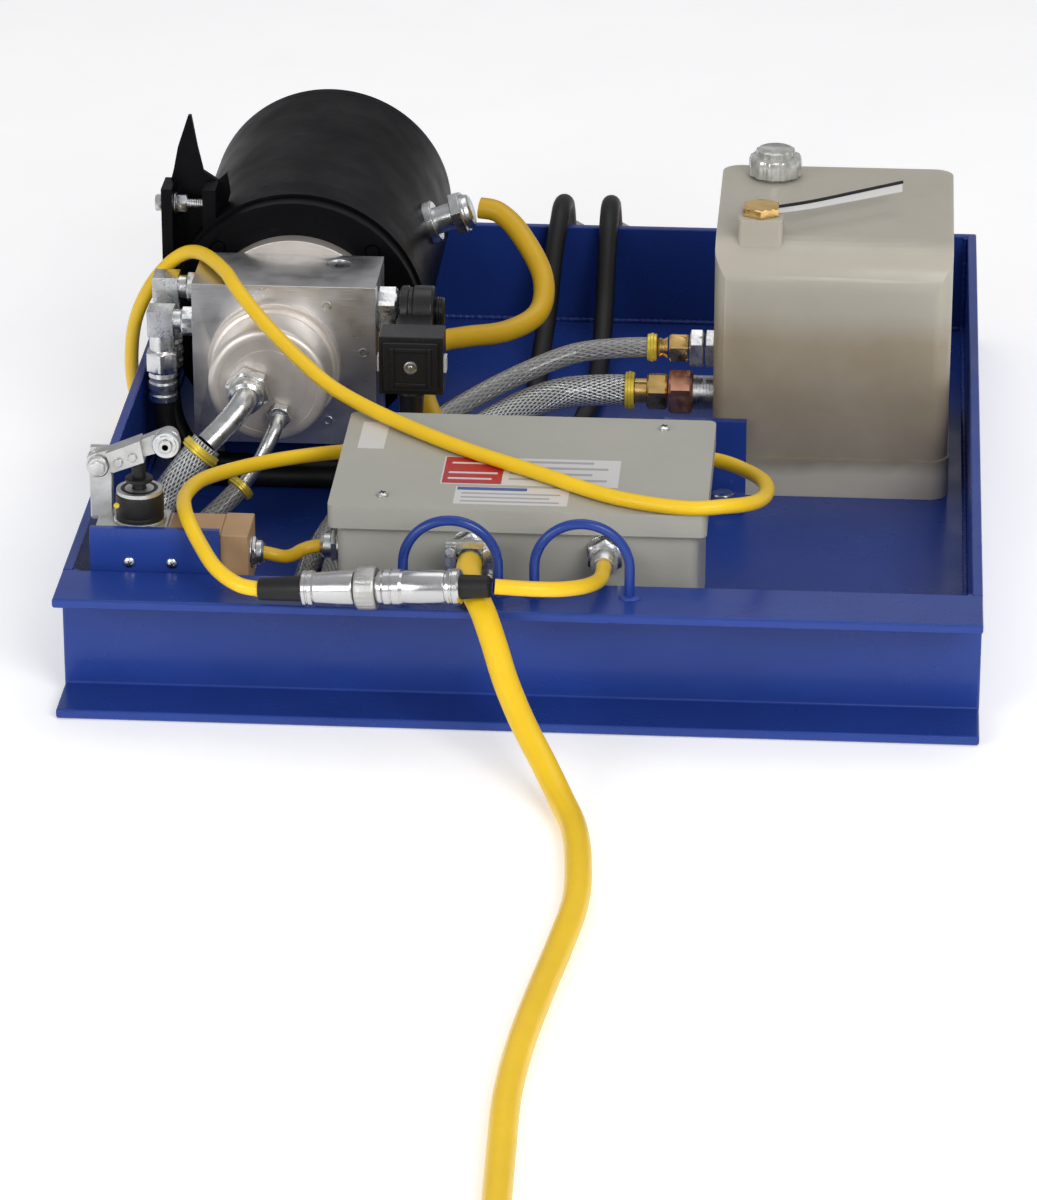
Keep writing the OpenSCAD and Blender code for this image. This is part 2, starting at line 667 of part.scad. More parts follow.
module tank_plug() color(BRASS) {
    hex_z(plug_at[0], plug_at[1], boss_z, boss_z + 6, 22);
    rod_z(plug_at[0], plug_at[1], tank_z1 - 4, boss_z, 6.9);
}

module suction_strainer() color("silver") {
    rod_x(port_y, suction_z, tank_x0 + tank_t, tank_x0 + 14, 5.5);
    rod_x(port_y, suction_z, tank_x0 + 14, tank_x0 + 60, 15);
}

// ---------- Control box ----------

module box_body() color(GREY) difference() {
    union() {
        difference() {
            soft_block([box_mid - box_x, box_y0, floor_t], [box_mid + box_x, box_y1, box_rim], 6);
            soft_block([box_mid - box_x + box_t, box_y0 + box_t, floor_t + box_t],
                       [box_mid + box_x - box_t, box_y1 - box_t, box_rim + 1], 4);
        }
        for (s = lid_screws) rod_z(s[0], s[1], floor_t + 1, box_rim, 5);
    }
    for (s = lid_screws) rod_z(s[0], s[1], 80, box_rim + 1, 2.1);
    for (g = [power_gland, signal_gland]) rod_y(g[0], g[1], box_y0 - 1, box_y0 + 4, 7);
    rod_x(switch_gland[0], switch_gland[1], box_mid - box_x - 1, box_mid - box_x + 4, 6);
    rod_y(-50, 68, box_y1 - 4, box_y1 + 1, 7);
    rod_y(-78, 60, box_y1 - 4, box_y1 + 1, 5);
}

module box_lid() color(GREY) difference() {
    x = lid_w / 2;
    soft_block([box_mid - x, lid_y0, lid_z - lid_skirt], [box_mid + x, lid_y1, lid_z], 5);
    soft_block([box_mid - x + 2, lid_y0 + 2, lid_z - lid_skirt - 1],
               [box_mid + x - 2, lid_y1 - 2, lid_z - lid_t], 4);
    for (s = lid_screws) rod_z(s[0], s[1], lid_z - 5, lid_z + 1, 2.3);
}

contactor_x = -50;
contactor_y = -192;
module contactor() color("dimgray") difference() {
    union() {
        block([-84, -224, floor_t + box_t], [-16, -160, 66]);
        block([-76, -212, 66], [-24, -172, 80]);
    }
    block([contactor_x - 20, contactor_y - 12, 62], [contactor_x + 20, contactor_y + 12, 81]);
}
module contactor_armature() color(BLACK)
    block([contactor_x - 20 + slide_gap, contactor_y - 12 + slide_gap, 66],
          [contactor_x + 20 - slide_gap, contactor_y + 12 - slide_gap, 86]);

module transformer() color("peru") {
    block([12, -222, floor_t + box_t], [76, -168, 24]);
    block([18, -218, 24], [70, -172, 58]);
    block([12, -222, 58], [76, -168, 70]);
}

module terminal_strip() color("ivory") for (k = [0 : 7])
    block([-20 + 12 * k, -156, floor_t + box_t], [-10 + 12 * k, -146, 34]);

// Lid, bracket, strap and block fasteners
module pan_screw(x, y, z, head_r, head_l, shank_r, shank_l) {
    rod_z(x, y, z, z + head_l, head_r);
    rod_z(x, y, z - shank_l, z, shank_r);
}
module screws() color(ZINC) {
    for (s = lid_screws) pan_screw(s[0], s[1], lid_z, 4, 1.6, 2, 20);
    for (x = [-229, -204]) {
        rod_y(x, 80, -284.2, -282, 3.6);
        rod_y(x, 80, -282, -278, 2);
    }
    rod_x(strap_y0 + 12, 168, -256, -225, 3);
    hex_x(strap_y0 + 12, 168, -261, -256, 10);
    hex_x(strap_y0 + 12, 168, -249, -240, 10);
    for (p = [[-142, 135], [-119, 104], [-142, 58]]) rod_y(p[0], p[1], 1.2, block_y0, 3);
    for (x = [84, 108]) hex_z(x, -2, floor_t + 4, floor_t + 10, 13);
    for (x = [-204, -134]) hex_z(x, 70, floor_t + 5, floor_t + 11, 13);
}

// A cable gland built along +Z from the wall it is screwed to
module gland(hole_r, flats, dome_r, l) {
    translate([0, 0, -4]) cylinder(h = 4, r = hole_r);
    cylinder(h = l * 0.4, r = hex_r(flats), $fn = 6);
    translate([0, 0, l * 0.4]) cylinder(h = l * 0.6, r = dome_r);
}
gland_l = 24;
module cable_glands() color(ZINC) {
    for (g = [power_gland, signal_gland])
        aim([g[0], box_y0, g[1]], [0, -1, 0])
            gland(6.9, g == power_gland ? 23 : 20, g == power_gland ? 9.5 : 7.5, gland_l);
    aim([box_mid - box_x, switch_gland[0], switch_gland[1]], [-1, 0, 0]) gland(5.9, 17, 7, 11);
    aim([-50, box_y1, 68], [0, 1, 0]) gland(6.9, 20, 9, 14);
    aim([-78, box_y1, 60], [0, 1, 0]) gland(4.9, 15, 6.5, 12);
    lead_r = motor_r + 0.1;
    aim([axis_x + lead_r * cos(20), 190, axis_z + lead_r * sin(20)], [cos(20), 0, sin(20)]) {
        translate([0, 0, 5]) cylinder(h = 12, r = 9);
        translate([0, 0, 17]) cylinder(h = 8, r = hex_r(27), $fn = 6);
        translate([0, 0, 25]) cylinder(h = 4.4, r = 11);
    }
    aim([-160, -262, 80], [1, 0, 0]) gland(2.9, 17, 7, 8);
    difference() {
        translate([axis_x, 190, axis_z]) rotate([0, 70, 0]) cylinder(h = motor_r + 5.1, r = 14);
        rod_y(axis_x, axis_z, 170, 210, motor_r + 0.02);
    }
}

// ---------- Limit switch ----------

module switch_body() color([0.72, 0.50, 0.34]) {
    difference() {
        union() {
            block([-246, -278, 62], [-160, -244, 96]);
            rod_z(-225, switch_y, 96, 118, 13.5);
        }
        rod_z(-225, switch_y, 102, 119, plunger_r + slide_gap);
        rod_x(-262, 80, -165, -159, 3);
    }
    difference() {
        block([-254, -256, 96], [-242, -251, 141]);
        rod_y(pivot[0], pivot[1], -257, -250, 2.5 + run_fit);
    }
}
module switch_plunger() color(BLACK) {
    rod_z(-225, switch_y, 107, 140.5, plunger_r);
    rod_z(-225, switch_y, 122.5, 125, 8);
}

arm_tilt = atan2(roller_at[1] - pivot[1], roller_at[0] - pivot[0]);
arm_l = norm(roller_at - pivot);
module switch_lever() color(ZINC) {
    translate([pivot[0], 0, pivot[1]]) rotate([0, -arm_tilt, 0]) difference() {
        union() {
            rod_y(0, 0, -264, -256.5, 7);
            rod_y(arm_l, 0, -264, -256.5, 6);
            block([0, -264, 0.5], [arm_l, -256.5, 6]);
        }
    }
    rod_y(pivot[0], pivot[1], -257, -249, 2.5);
    rod_y(roller_at[0], roller_at[1], -274, -263, 2.5);
    rod_y(roller_at[0], roller_at[1], -276, -274, 4);
}
module switch_roller() color(ZINC)
    ring_y(roller_at[0], roller_at[1], -273.6, -264.4, roller_r, 2.5 + run_fit);

// ---------- Connector ----------

module on_connector() translate(con_at) rotate([0, 90 - con_tilt, con_turn]) children();

module connector() color(ZINC) on_connector() {
    rotate_extrude() polygon([
        [0, 0], [10.5, 0], [10.5, 7], [9.2, 8], [10.5, 29], [8, 31], [8, 44], [9.7, 45], [10.6, 48],
        [10.6, 58], [9.9, 60], [10.2, 68], [9.4, 83], [10.6, 85], [10.6, 92], [8, con_l], [0, con_l],
    ]);
    translate([0, 0, -26]) cylinder(h = 26, r = 6.3);
    translate([0, 0, con_l]) cylinder(h = 16, r = 6.3);
}
module coupling_ring() color(ZINC) on_connector() difference() {
    translate([0, 0, 31.5]) cylinder(h = 12, r = 12.5);
    translate([0, 0, 31]) cylinder(h = 13, r = 8.4);
}

// ---------- Leads and cords ----------

module wiring_leads() color(YELLOW) {
    tube(motor_lead_route, motor_lead_d, 10, 2);
    tube(valve_lead_route, 8, 8, 2);
    tube(switch_lead_route, 8, 8, 2);
}
module pigtail() color(YELLOW) tube(pigtail_route, thin_d, 8, 2);
module power_cord() color(YELLOW) tube(power_route, power_d, 10, 2);
module pendant_cord() color(YELLOW) {
    tube(pendant_route, thin_d, 8, 2);
    tube(pendant_tail, thin_d, 8, 2);
}
curl_r = 13.5;
module pendant_curl() color(YELLOW) rod_x(350, curl_r, -236, 214, curl_r);

// Turns of the power cord lying side by side and on each other
module power_coil() color(YELLOW) translate(coil_at) rotate_extrude()
    translate([coil_mid_r - power_d, 0]) square([2 * power_d, 2 * power_d]);

module power_plug() color(BLACK) {
    translate([plug_x, plug_y, plug_z]) rotate([0, 90, 0]) rotate_extrude() polygon([
        [0, 0], [9, 0], [12, 34], [16, 36], [18.5, 44], [18.5, 70], [20, 72], [20, 80], [0, 80],
    ]);
    for (y = [-6.5, 6.5])
        block([plug_x + 80, plug_y + y - 0.8, plug_z - 3], [plug_x + 98, plug_y + y + 0.8, plug_z + 3.5]);
    rod_x(plug_y, plug_z - 9, plug_x + 80, plug_x + 100, 2.4);
}

// ---------- Pendant ----------

module pendant_case() color(YELLOW) difference() {
    union() {
        translate([pendant_at[0] - pendant_l, pendant_at[1] - pendant_w / 2, 0])
            soft_block([0, 0, 0], [pendant_l, pendant_w, pendant_h], 10);
    }
    for (x = [up_x, down_x]) rod_z(x, pendant_at[1], 20, pendant_h + 1, button_r + slide_gap);
}
module button(x) rod_z(x, pendant_at[1], 25, pendant_h + 5, button_r);
module up_button() color("forestgreen") button(up_x);
module down_button() color("firebrick") button(down_x);

pan_floor();
front_channel();
pan_rails();
guard_rings();
brackets();
motor_shell();
motor_front_bell();
motor_rear_bell();
motor_stator();
motor_rotor();
motor_bearings();
motor_strap();
adapter_ring();
shaft_coupler();
manifold_block();
pump_body();
drive_gear();
driven_gear();
pump_cover();
relief_valve();
valve_cartridge();
valve_plunger();
solenoid_coil();
din_plug();
steel_fittings();
brass_fittings();
hose_ferrules();
suction_hose();
return_hose();
pressure_hose_front();
pressure_hose_back();
hose_ends();
tank();
filler_cap();
tank_plug();
suction_strainer();
box_body();
box_lid();
contactor();
contactor_armature();
transformer();
terminal_strip();
screws();
cable_glands();
switch_body();
switch_plunger();
switch_lever();
switch_roller();
connector();
coupling_ring();
wiring_leads();
pigtail();
power_cord();
power_coil();
power_plug();
pendant_cord();
pendant_curl();
pendant_case();
up_button();
down_button();
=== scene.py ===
"""Hydraulic power unit in its steel pan: what it looks like.

Places are in millimetres of the shared frame, unless a value says that it is in metres.
"""

import math

import bmesh
import bpy
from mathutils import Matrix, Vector


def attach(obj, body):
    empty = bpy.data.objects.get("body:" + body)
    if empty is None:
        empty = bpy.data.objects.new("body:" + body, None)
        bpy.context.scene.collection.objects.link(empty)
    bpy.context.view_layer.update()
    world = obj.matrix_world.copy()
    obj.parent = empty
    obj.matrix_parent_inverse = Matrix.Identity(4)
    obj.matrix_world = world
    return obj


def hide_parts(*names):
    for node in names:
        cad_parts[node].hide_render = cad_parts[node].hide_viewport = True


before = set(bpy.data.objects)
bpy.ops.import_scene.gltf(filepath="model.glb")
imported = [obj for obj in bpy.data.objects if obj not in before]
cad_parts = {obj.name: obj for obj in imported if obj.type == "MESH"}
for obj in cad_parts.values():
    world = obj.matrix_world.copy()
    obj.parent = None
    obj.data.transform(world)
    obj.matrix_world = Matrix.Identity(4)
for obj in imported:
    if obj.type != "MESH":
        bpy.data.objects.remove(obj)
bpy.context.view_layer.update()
MM = 0.001
TAU = 2 * math.pi


def mm(p):
    return Vector(p) * MM


# ---- camera and light

scene = bpy.context.scene
LENS = 163.5
CAMERA_AT = (0.2036, -3.1818, 1.3358)  # metres
CAMERA_AIM = (-1.7, -275.7, 60)
SKY = ((0.0, 0.50), (0.5, 0.42), (0.56, 0.20), (0.66, 0.62), (0.82, 0.30), (1.0, 0.62))  # height, shade
SKY_STRENGTH = 0.9


def add_camera():
    data = bpy.data.cameras.new("camera")
    data.lens = LENS
    cam = bpy.data.objects.new("camera", data)
    cam.location = CAMERA_AT
    cam.rotation_euler = (mm(CAMERA_AIM) - cam.location).to_track_quat("-Z", "Y").to_euler()
    scene.collection.objects.link(cam)
    scene.camera = cam


def area_light(name, at, target, size, power):
    """A rectangular lamp. Its places and size are in metres."""
    data = bpy.data.lights.new(name, "AREA")
    data.shape = "RECTANGLE"
    data.size, data.size_y = size
    data.energy = power
    light = bpy.data.objects.new(name, data)
    light.location = at
    light.rotation_euler = (Vector(target) - Vector(at)).to_track_quat("-Z", "Y").to_euler()
    scene.collection.objects.link(light)


def set_world():
    """White where the camera looks, and bands of light and dark for the metal to reflect."""
    world = bpy.data.worlds.new("studio")
    scene.world = world
    world.use_nodes = True
    n, l = world.node_tree.nodes, world.node_tree.links
    n.clear()
    out = n.new("ShaderNodeOutputWorld")
    pick = n.new("ShaderNodeMixShader")
    lit, seen = n.new("ShaderNodeBackground"), n.new("ShaderNodeBackground")
    seen.inputs["Color"].default_value = (1, 1, 1, 1)
    seen.inputs["Strength"].default_value = 1.0
    path = n.new("ShaderNodeLightPath")
    coord = n.new("ShaderNodeTexCoord")
    split = n.new("ShaderNodeSeparateXYZ")
    ramp = n.new("ShaderNodeValToRGB")
    bands = ramp.color_ramp.elements
    for at, shade in SKY[1:-1]:
        bands.new(at)
    for e, (at, shade) in zip(bands, SKY):
        e.position = at
        e.color = (shade, shade, shade * 1.03, 1)
    scale = n.new("ShaderNodeMapRange")
    scale.inputs["From Min"].default_value = -1
    l.new(coord.outputs["Generated"], split.inputs[0])
    l.new(split.outputs["Z"], scale.inputs["Value"])
    l.new(scale.outputs["Result"], ramp.inputs["Fac"])
    l.new(ramp.outputs["Color"], lit.inputs["Color"])
    lit.inputs["Strength"].default_value = SKY_STRENGTH
    l.new(path.outputs["Is Camera Ray"], pick.inputs["Fac"])
    l.new(lit.outputs[0], pick.inputs[1])
    l.new(seen.outputs[0], pick.inputs[2])
    l.new(pick.outputs[0], out.inputs["Surface"])


add_camera()
set_world()
area_light("top", (0.2, 0.6, 2.0), (0, 0, 0), (1.8, 1.2), 8)
area_light("key", (1.1, -2.1, 1.5), (0, -0.1, 0.05), (1.3, 1.0), 31)
area_light("fill", (-1.5, -2.2, 0.9), (0, -0.1, 0.05), (1.4, 1.0), 21)
scene.view_settings.view_transform = "Standard"
scene.view_settings.look = "None"
scene.view_settings.exposure = 0.0

# ---- materials


def shader(name):
    m = bpy.data.materials.new(name)
    m.use_nodes = True
    n = m.node_tree.nodes
    return m, n, m.node_tree.links, n["Principled BSDF"]


def mapped(n, l, stretch=(1, 1, 1)):
    coord, mapping = n.new("ShaderNodeTexCoord"), n.new("ShaderNodeMapping")
    mapping.inputs["Scale"].default_value = stretch
    l.new(coord.outputs["Object"], mapping.inputs["Vector"])
    return mapping.outputs["Vector"]


def noise(n, l, vector, scale, detail=4.0, roughness=0.55):
    t = n.new("ShaderNodeTexNoise")
    t.inputs["Scale"].default_value = scale
    t.inputs["Detail"].default_value = detail
    t.inputs["Roughness"].default_value = roughness
    l.new(vector, t.inputs["Vector"])
    return t.outputs["Fac"]


def ramp_of(n, l, value, stops):
    r = n.new("ShaderNodeValToRGB")
    while len(r.color_ramp.elements) < len(stops):
        r.color_ramp.elements.new(0.5)
    for e, (at, c) in zip(r.color_ramp.elements, stops):
        e.position = at
        e.color = (*c, 1)
    l.new(value, r.inputs["Fac"])
    return r.outputs["Color"]


def ranged(n, l, value, low, high, from_low=0.3, from_high=0.7):
    r = n.new("ShaderNodeMapRange")
    r.inputs["From Min"].default_value = from_low
    r.inputs["From Max"].default_value = from_high
    r.inputs["To Min"].default_value = low
    r.inputs["To Max"].default_value = high
    l.new(value, r.inputs["Value"])
    return r.outputs["Result"]


def bump(n, l, height, strength, distance):
    b = n.new("ShaderNodeBump")
    b.inputs["Strength"].default_value = strength
    b.inputs["Distance"].default_value = distance
    l.new(height, b.inputs["Height"])
    return b.outputs["Normal"]


def mixed(n, l, fac, a, b):
    """Colour a where fac is 0 and b where it is 1. Each is a socket or three numbers."""
    m = n.new("ShaderNodeMix")
    m.data_type = "RGBA"
    for value, socket in ((a, m.inputs["A"]), (b, m.inputs["B"])):
        if isinstance(value, tuple):
            socket.default_value = (*value, 1)
        else:
            l.new(value, socket)
    l.new(fac, m.inputs["Factor"])
    return m.outputs["Result"]


def finish(name, color, rough, metal=0.0, coat=0.0, tone=0.12, tone_scale=9, grain=0.15, grain_scale=350,
           grain_depth=0.0004, stretch=(1, 1, 1), soil=None, soil_share=0.62, soil_scale=30, spread=0.08,
           specular=0.5):
    """A surface with slow changes of tone, fine grain, uneven gloss and, if asked for, soiled patches."""
    m, n, l, b = shader(name)
    v = mapped(n, l)
    slow = noise(n, l, v, tone_scale, 5)
    dark = tuple(c * (1 - tone) for c in color)
    light = tuple(min(1.0, c * (1 + tone)) for c in color)
    shade = ramp_of(n, l, slow, [(0.3, dark), (0.7, light)])
    if soil:
        patches = noise(n, l, v, soil_scale, 8, 0.7)
        shade = mixed(n, l, ranged(n, l, patches, 0, 1, soil_share, soil_share + 0.12), shade, soil)
    l.new(shade, b.inputs["Base Color"])
    uneven = noise(n, l, v, tone_scale * 3, 5)
    l.new(ranged(n, l, uneven, max(0.02, rough - spread), rough + spread), b.inputs["Roughness"])
    fine = noise(n, l, mapped(n, l, stretch), grain_scale, 3)
    l.new(bump(n, l, fine, grain, grain_depth), b.inputs["Normal"])
    b.inputs["Metallic"].default_value = metal
    b.inputs["Coat Weight"].default_value = coat
    b.inputs["Coat Roughness"].default_value = 0.12
    b.inputs["Specular IOR Level"].default_value = specular
    return m


def braid_finish(name, strand, gap, around, pitch, rough=0.35, metal=0.0, coat=0.6):
    """Crossed strands on a tube whose UV runs once around it and along it in metres."""
    m, n, l, b = shader(name)
    coord, split = n.new("ShaderNodeTexCoord"), n.new("ShaderNodeSeparateXYZ")
    l.new(coord.outputs["UV"], split.inputs[0])

    def op(kind, a, c):
        o = n.new("ShaderNodeMath")
        o.operation = kind
        for k, value in enumerate((a, c)):
            if value is None:
                continue
            if isinstance(value, (int, float)):
                o.inputs[k].default_value = value
            else:
                l.new(value, o.inputs[k])
        return o.outputs[0]

    u = op("MULTIPLY", split.outputs["X"], around * TAU)
    w = op("MULTIPLY", split.outputs["Y"], TAU / pitch)
    one, two = op("SINE", op("ADD", u, w), None), op("SINE", op("SUBTRACT", u, w), None)
    high = op("MAXIMUM", one, two)
    cover = ranged(n, l, high, 0, 1, -0.1, 0.45)
    slow = noise(n, l, mapped(n, l), 40)
    tinted = ramp_of(n, l, slow, [(0.3, tuple(c * 0.8 for c in strand)), (0.7, strand)])
    l.new(mixed(n, l, cover, gap, tinted), b.inputs["Base Color"])
    l.new(bump(n, l, high, 0.6, 0.0006), b.inputs["Normal"])
    b.inputs["Roughness"].default_value = rough
    b.inputs["Metallic"].default_value = metal
    b.inputs["Coat Weight"].default_value = coat
    return m


def tank_finish():
    """Milky plastic, with oil showing through up to about half its height."""
    m, n, l, b = shader("tank_plastic")
    v = mapped(n, l)
    split = n.new("ShaderNodeSeparateXYZ")
    l.new(v, split.inputs[0])
    wobble = n.new("ShaderNodeMath")
    wobble.operation = "MULTIPLY_ADD"
    l.new(noise(n, l, v, 12, 3), wobble.inputs[0])
    wobble.inputs[1].default_value = 0.02
    l.new(split.outputs["Z"], wobble.inputs[2])
    level = n.new("ShaderNodeMapRange")
    level.inputs["From Min"].default_value = 0.0
    level.inputs["From Max"].default_value = 0.2
    l.new(wobble.outputs[0], level.inputs["Value"])
    body = ramp_of(n, l, level.outputs["Result"], [
        (0.06, (0.52, 0.485, 0.40)), (0.17, (0.50, 0.465, 0.38)), (0.22, (0.25, 0.215, 0.16)),
        (0.40, (0.27, 0.22, 0.15)),
        (0.60, (0.32, 0.265, 0.18)), (0.70, (0.43, 0.40, 0.33)), (0.80, (0.45, 0.42, 0.35)),
    ])
    clouds = noise(n, l, v, 26, 4)
    l.new(mixed(n, l, ranged(n, l, clouds, 0, 0.14), body, (0.62, 0.57, 0.48)), b.inputs["Base Color"])
    b.inputs["Subsurface Weight"].default_value = 0.25
    b.inputs["Subsurface Radius"].default_value = (0.02, 0.016, 0.010)
    b.inputs["Subsurface Scale"].default_value = 0.6
    l.new(ranged(n, l, noise(n, l, v, 60, 3), 0.34, 0.46), b.inputs["Roughness"])
    l.new(bump(n, l, noise(n, l, v, 90, 4), 0.12, 0.0008), b.inputs["Normal"])
    return m


BLUE = finish("blue_paint", (0.015, 0.045, 0.250), 0.30, coat=0.12, specular=0.3, tone=0.14, tone_scale=6,
              grain=0.10,
              grain_scale=260, soil=(0.05, 0.08, 0.26), soil_share=0.68, soil_scale=22)
WELD = finish("painted_weld", (0.016, 0.044, 0.260), 0.34, coat=0.15, specular=0.35, grain=0.9,
              grain_scale=500, grain_depth=0.0012)
BLACK = finish("black_paint", (0.0035, 0.0035, 0.0045), 0.42, tone=0.3, grain=0.35, grain_scale=420,
               soil=(0.012, 0.012, 0.014), soil_share=0.66, specular=0.07)
BOX = finish("grey_paint", (0.40, 0.395, 0.35), 0.46, specular=0.3, tone=0.05, grain=0.45, grain_scale=700,
             grain_depth=0.0003)
MILLED = finish("milled_aluminium", (0.62, 0.62, 0.63), 0.34, metal=0.95, tone=0.14, tone_scale=20, grain=0.3,
                grain_scale=60, stretch=(1, 1, 24), soil=(0.40, 0.40, 0.40), soil_share=0.62, soil_scale=26,
                spread=0.08)
TURNED = finish("turned_aluminium", (0.70, 0.65, 0.60), 0.42, metal=0.7, tone=0.10, tone_scale=18, grain=0.2,
                grain_scale=300, spread=0.06, soil=(0.62, 0.56, 0.51), soil_share=0.56, soil_scale=16)
ZINC = finish("zinc_plate", (0.64, 0.65, 0.65), 0.30, metal=1.0, tone=0.22, tone_scale=60, grain=0.3,
              grain_scale=500,
              soil=(0.36, 0.35, 0.32), soil_share=0.62, soil_scale=90, spread=0.1)
BRIGHT = finish("nickel", (0.60, 0.60, 0.60), 0.24, metal=1.0, tone=0.06, tone_scale=40, grain=0.08,
                grain_scale=300, spread=0.05)
GRIP = finish("knurled_nickel", (0.50, 0.50, 0.48), 0.42, metal=1.0, tone=0.1, tone_scale=60, grain=0.9,
              grain_scale=900)
STEEL = finish("bare_steel", (0.42, 0.42, 0.43), 0.36, metal=1.0, tone=0.2, tone_scale=50, grain=0.3)
BRASS = finish("brass", (0.80, 0.54, 0.20), 0.28, metal=1.0, tone=0.18, tone_scale=60, grain=0.2,
               soil=(0.45, 0.28, 0.10),
               soil_share=0.64, soil_scale=80)
COPPER = finish("copper", (0.72, 0.38, 0.26), 0.38, metal=1.0, tone=0.2, tone_scale=60)
GOLD = finish("yellow_plate", (0.74, 0.56, 0.05), 0.34, metal=0.4, tone=0.2, tone_scale=80, coat=0.3)
CORD = finish("yellow_jacket", (0.86, 0.55, 0.012), 0.36, tone=0.07, tone_scale=14, grain=0.25,
              grain_scale=500, specular=0.4,
              soil=(0.66, 0.38, 0.02), soil_share=0.70, soil_scale=40)
# The yellow jacket of CORD again, painted darker: painted shade where the leads lie.
LEAD = finish("yellow_jacket_painted_shade", (0.60, 0.36, 0.012), 0.38, tone=0.1, tone_scale=14, grain=0.25, grain_scale=500,
              specular=0.4)
RUBBER = finish("black_rubber", (0.008, 0.008, 0.008), 0.5, specular=0.35, tone=0.3, grain=0.4,
                grain_scale=600)
PLASTIC = finish("black_plastic", (0.012, 0.012, 0.013), 0.32, tone=0.2, grain=0.25, grain_scale=800,
                 specular=0.4)
IRON = finish("iron", (0.10, 0.10, 0.10), 0.55, metal=0.8, grain=0.6, grain_scale=300)
TAN = finish("tan_plastic", (0.42, 0.26, 0.13), 0.5, tone=0.2, grain=0.4, grain_scale=400)
CAST = finish("cast_zinc", (0.56, 0.56, 0.55), 0.38, metal=0.9, tone=0.2, tone_scale=50, grain=0.5,
              grain_scale=350)
GREEN = finish("green_plastic", (0.01, 0.22, 0.03), 0.25, coat=0.4)
RED = finish("red_plastic", (0.42, 0.01, 0.008), 0.25, coat=0.4)
LABEL = finish("white_label", (0.62, 0.61, 0.60), 0.4, tone=0.03, grain=0.1)
LABEL_RED = finish("red_label", (0.42, 0.012, 0.03), 0.4, tone=0.05, grain=0.1)
LABEL_BLUE = finish("blue_label", (0.04, 0.09, 0.30), 0.4, tone=0.05, grain=0.1)
LABEL_GREY = finish("grey_print", (0.36, 0.36, 0.37), 0.5, tone=0.05, grain=0.1)
CLEAR = finish("clear_plastic", (0.50, 0.50, 0.47), 0.14, tone=0.35, tone_scale=140, coat=0.8, metal=0.3)
WHITE = finish("white_plastic", (0.70, 0.70, 0.68), 0.35, tone=0.05)
BRAID = braid_finish("steel_braid", (0.62, 0.63, 0.62), (0.07, 0.07, 0.07), 26, 0.0066, rough=0.34, metal=0.5)
CLEAR_HOSE = braid_finish("clear_hose", (0.27, 0.27, 0.26), (0.15, 0.15, 0.15), 14, 0.008, rough=0.24,
                          coat=0.7)
TANK = tank_finish()

# ---- building pieces


def unit(v):
    return v.normalized()


def curve_at(a, b, c, d, t):
    """The point at t from 0 to 1 between b and c, on the smooth curve through a, b, c and d."""
    square, cube = 2 * a - 5 * b + 4 * c - d, 3 * b - a - 3 * c + d
    return 0.5 * (2 * b + (c - a) * t + square * t * t + cube * t ** 3)


def smooth(points, steps=8):
    """A smooth curve through the points."""
    p = [Vector(q) for q in points]
    n = len(p)
    made = []
    for i in range(n - 1):
        for k in range(steps):
            made.append(curve_at(p[max(i - 1, 0)], p[i], p[i + 1], p[min(i + 2, n - 1)], k / steps))
    return made + [p[-1]]


def frames_along(p):
    """For each point, two directions across the line, turning as little as possible."""
    made, side = [], None
    for i, q in enumerate(p):
        t = unit(p[min(i + 1, len(p) - 1)] - p[max(i - 1, 0)])
        side = Vector((0.31, 0.27, 0.91)) if side is None else side
        side = unit(side - side.dot(t) * t)
        made.append((side, t.cross(side)))
    return made


def circle(r, sides):
    w = [TAU * k / sides for k in range(sides)]
    return [(r * math.cos(a), r * math.sin(a)) for a in w]


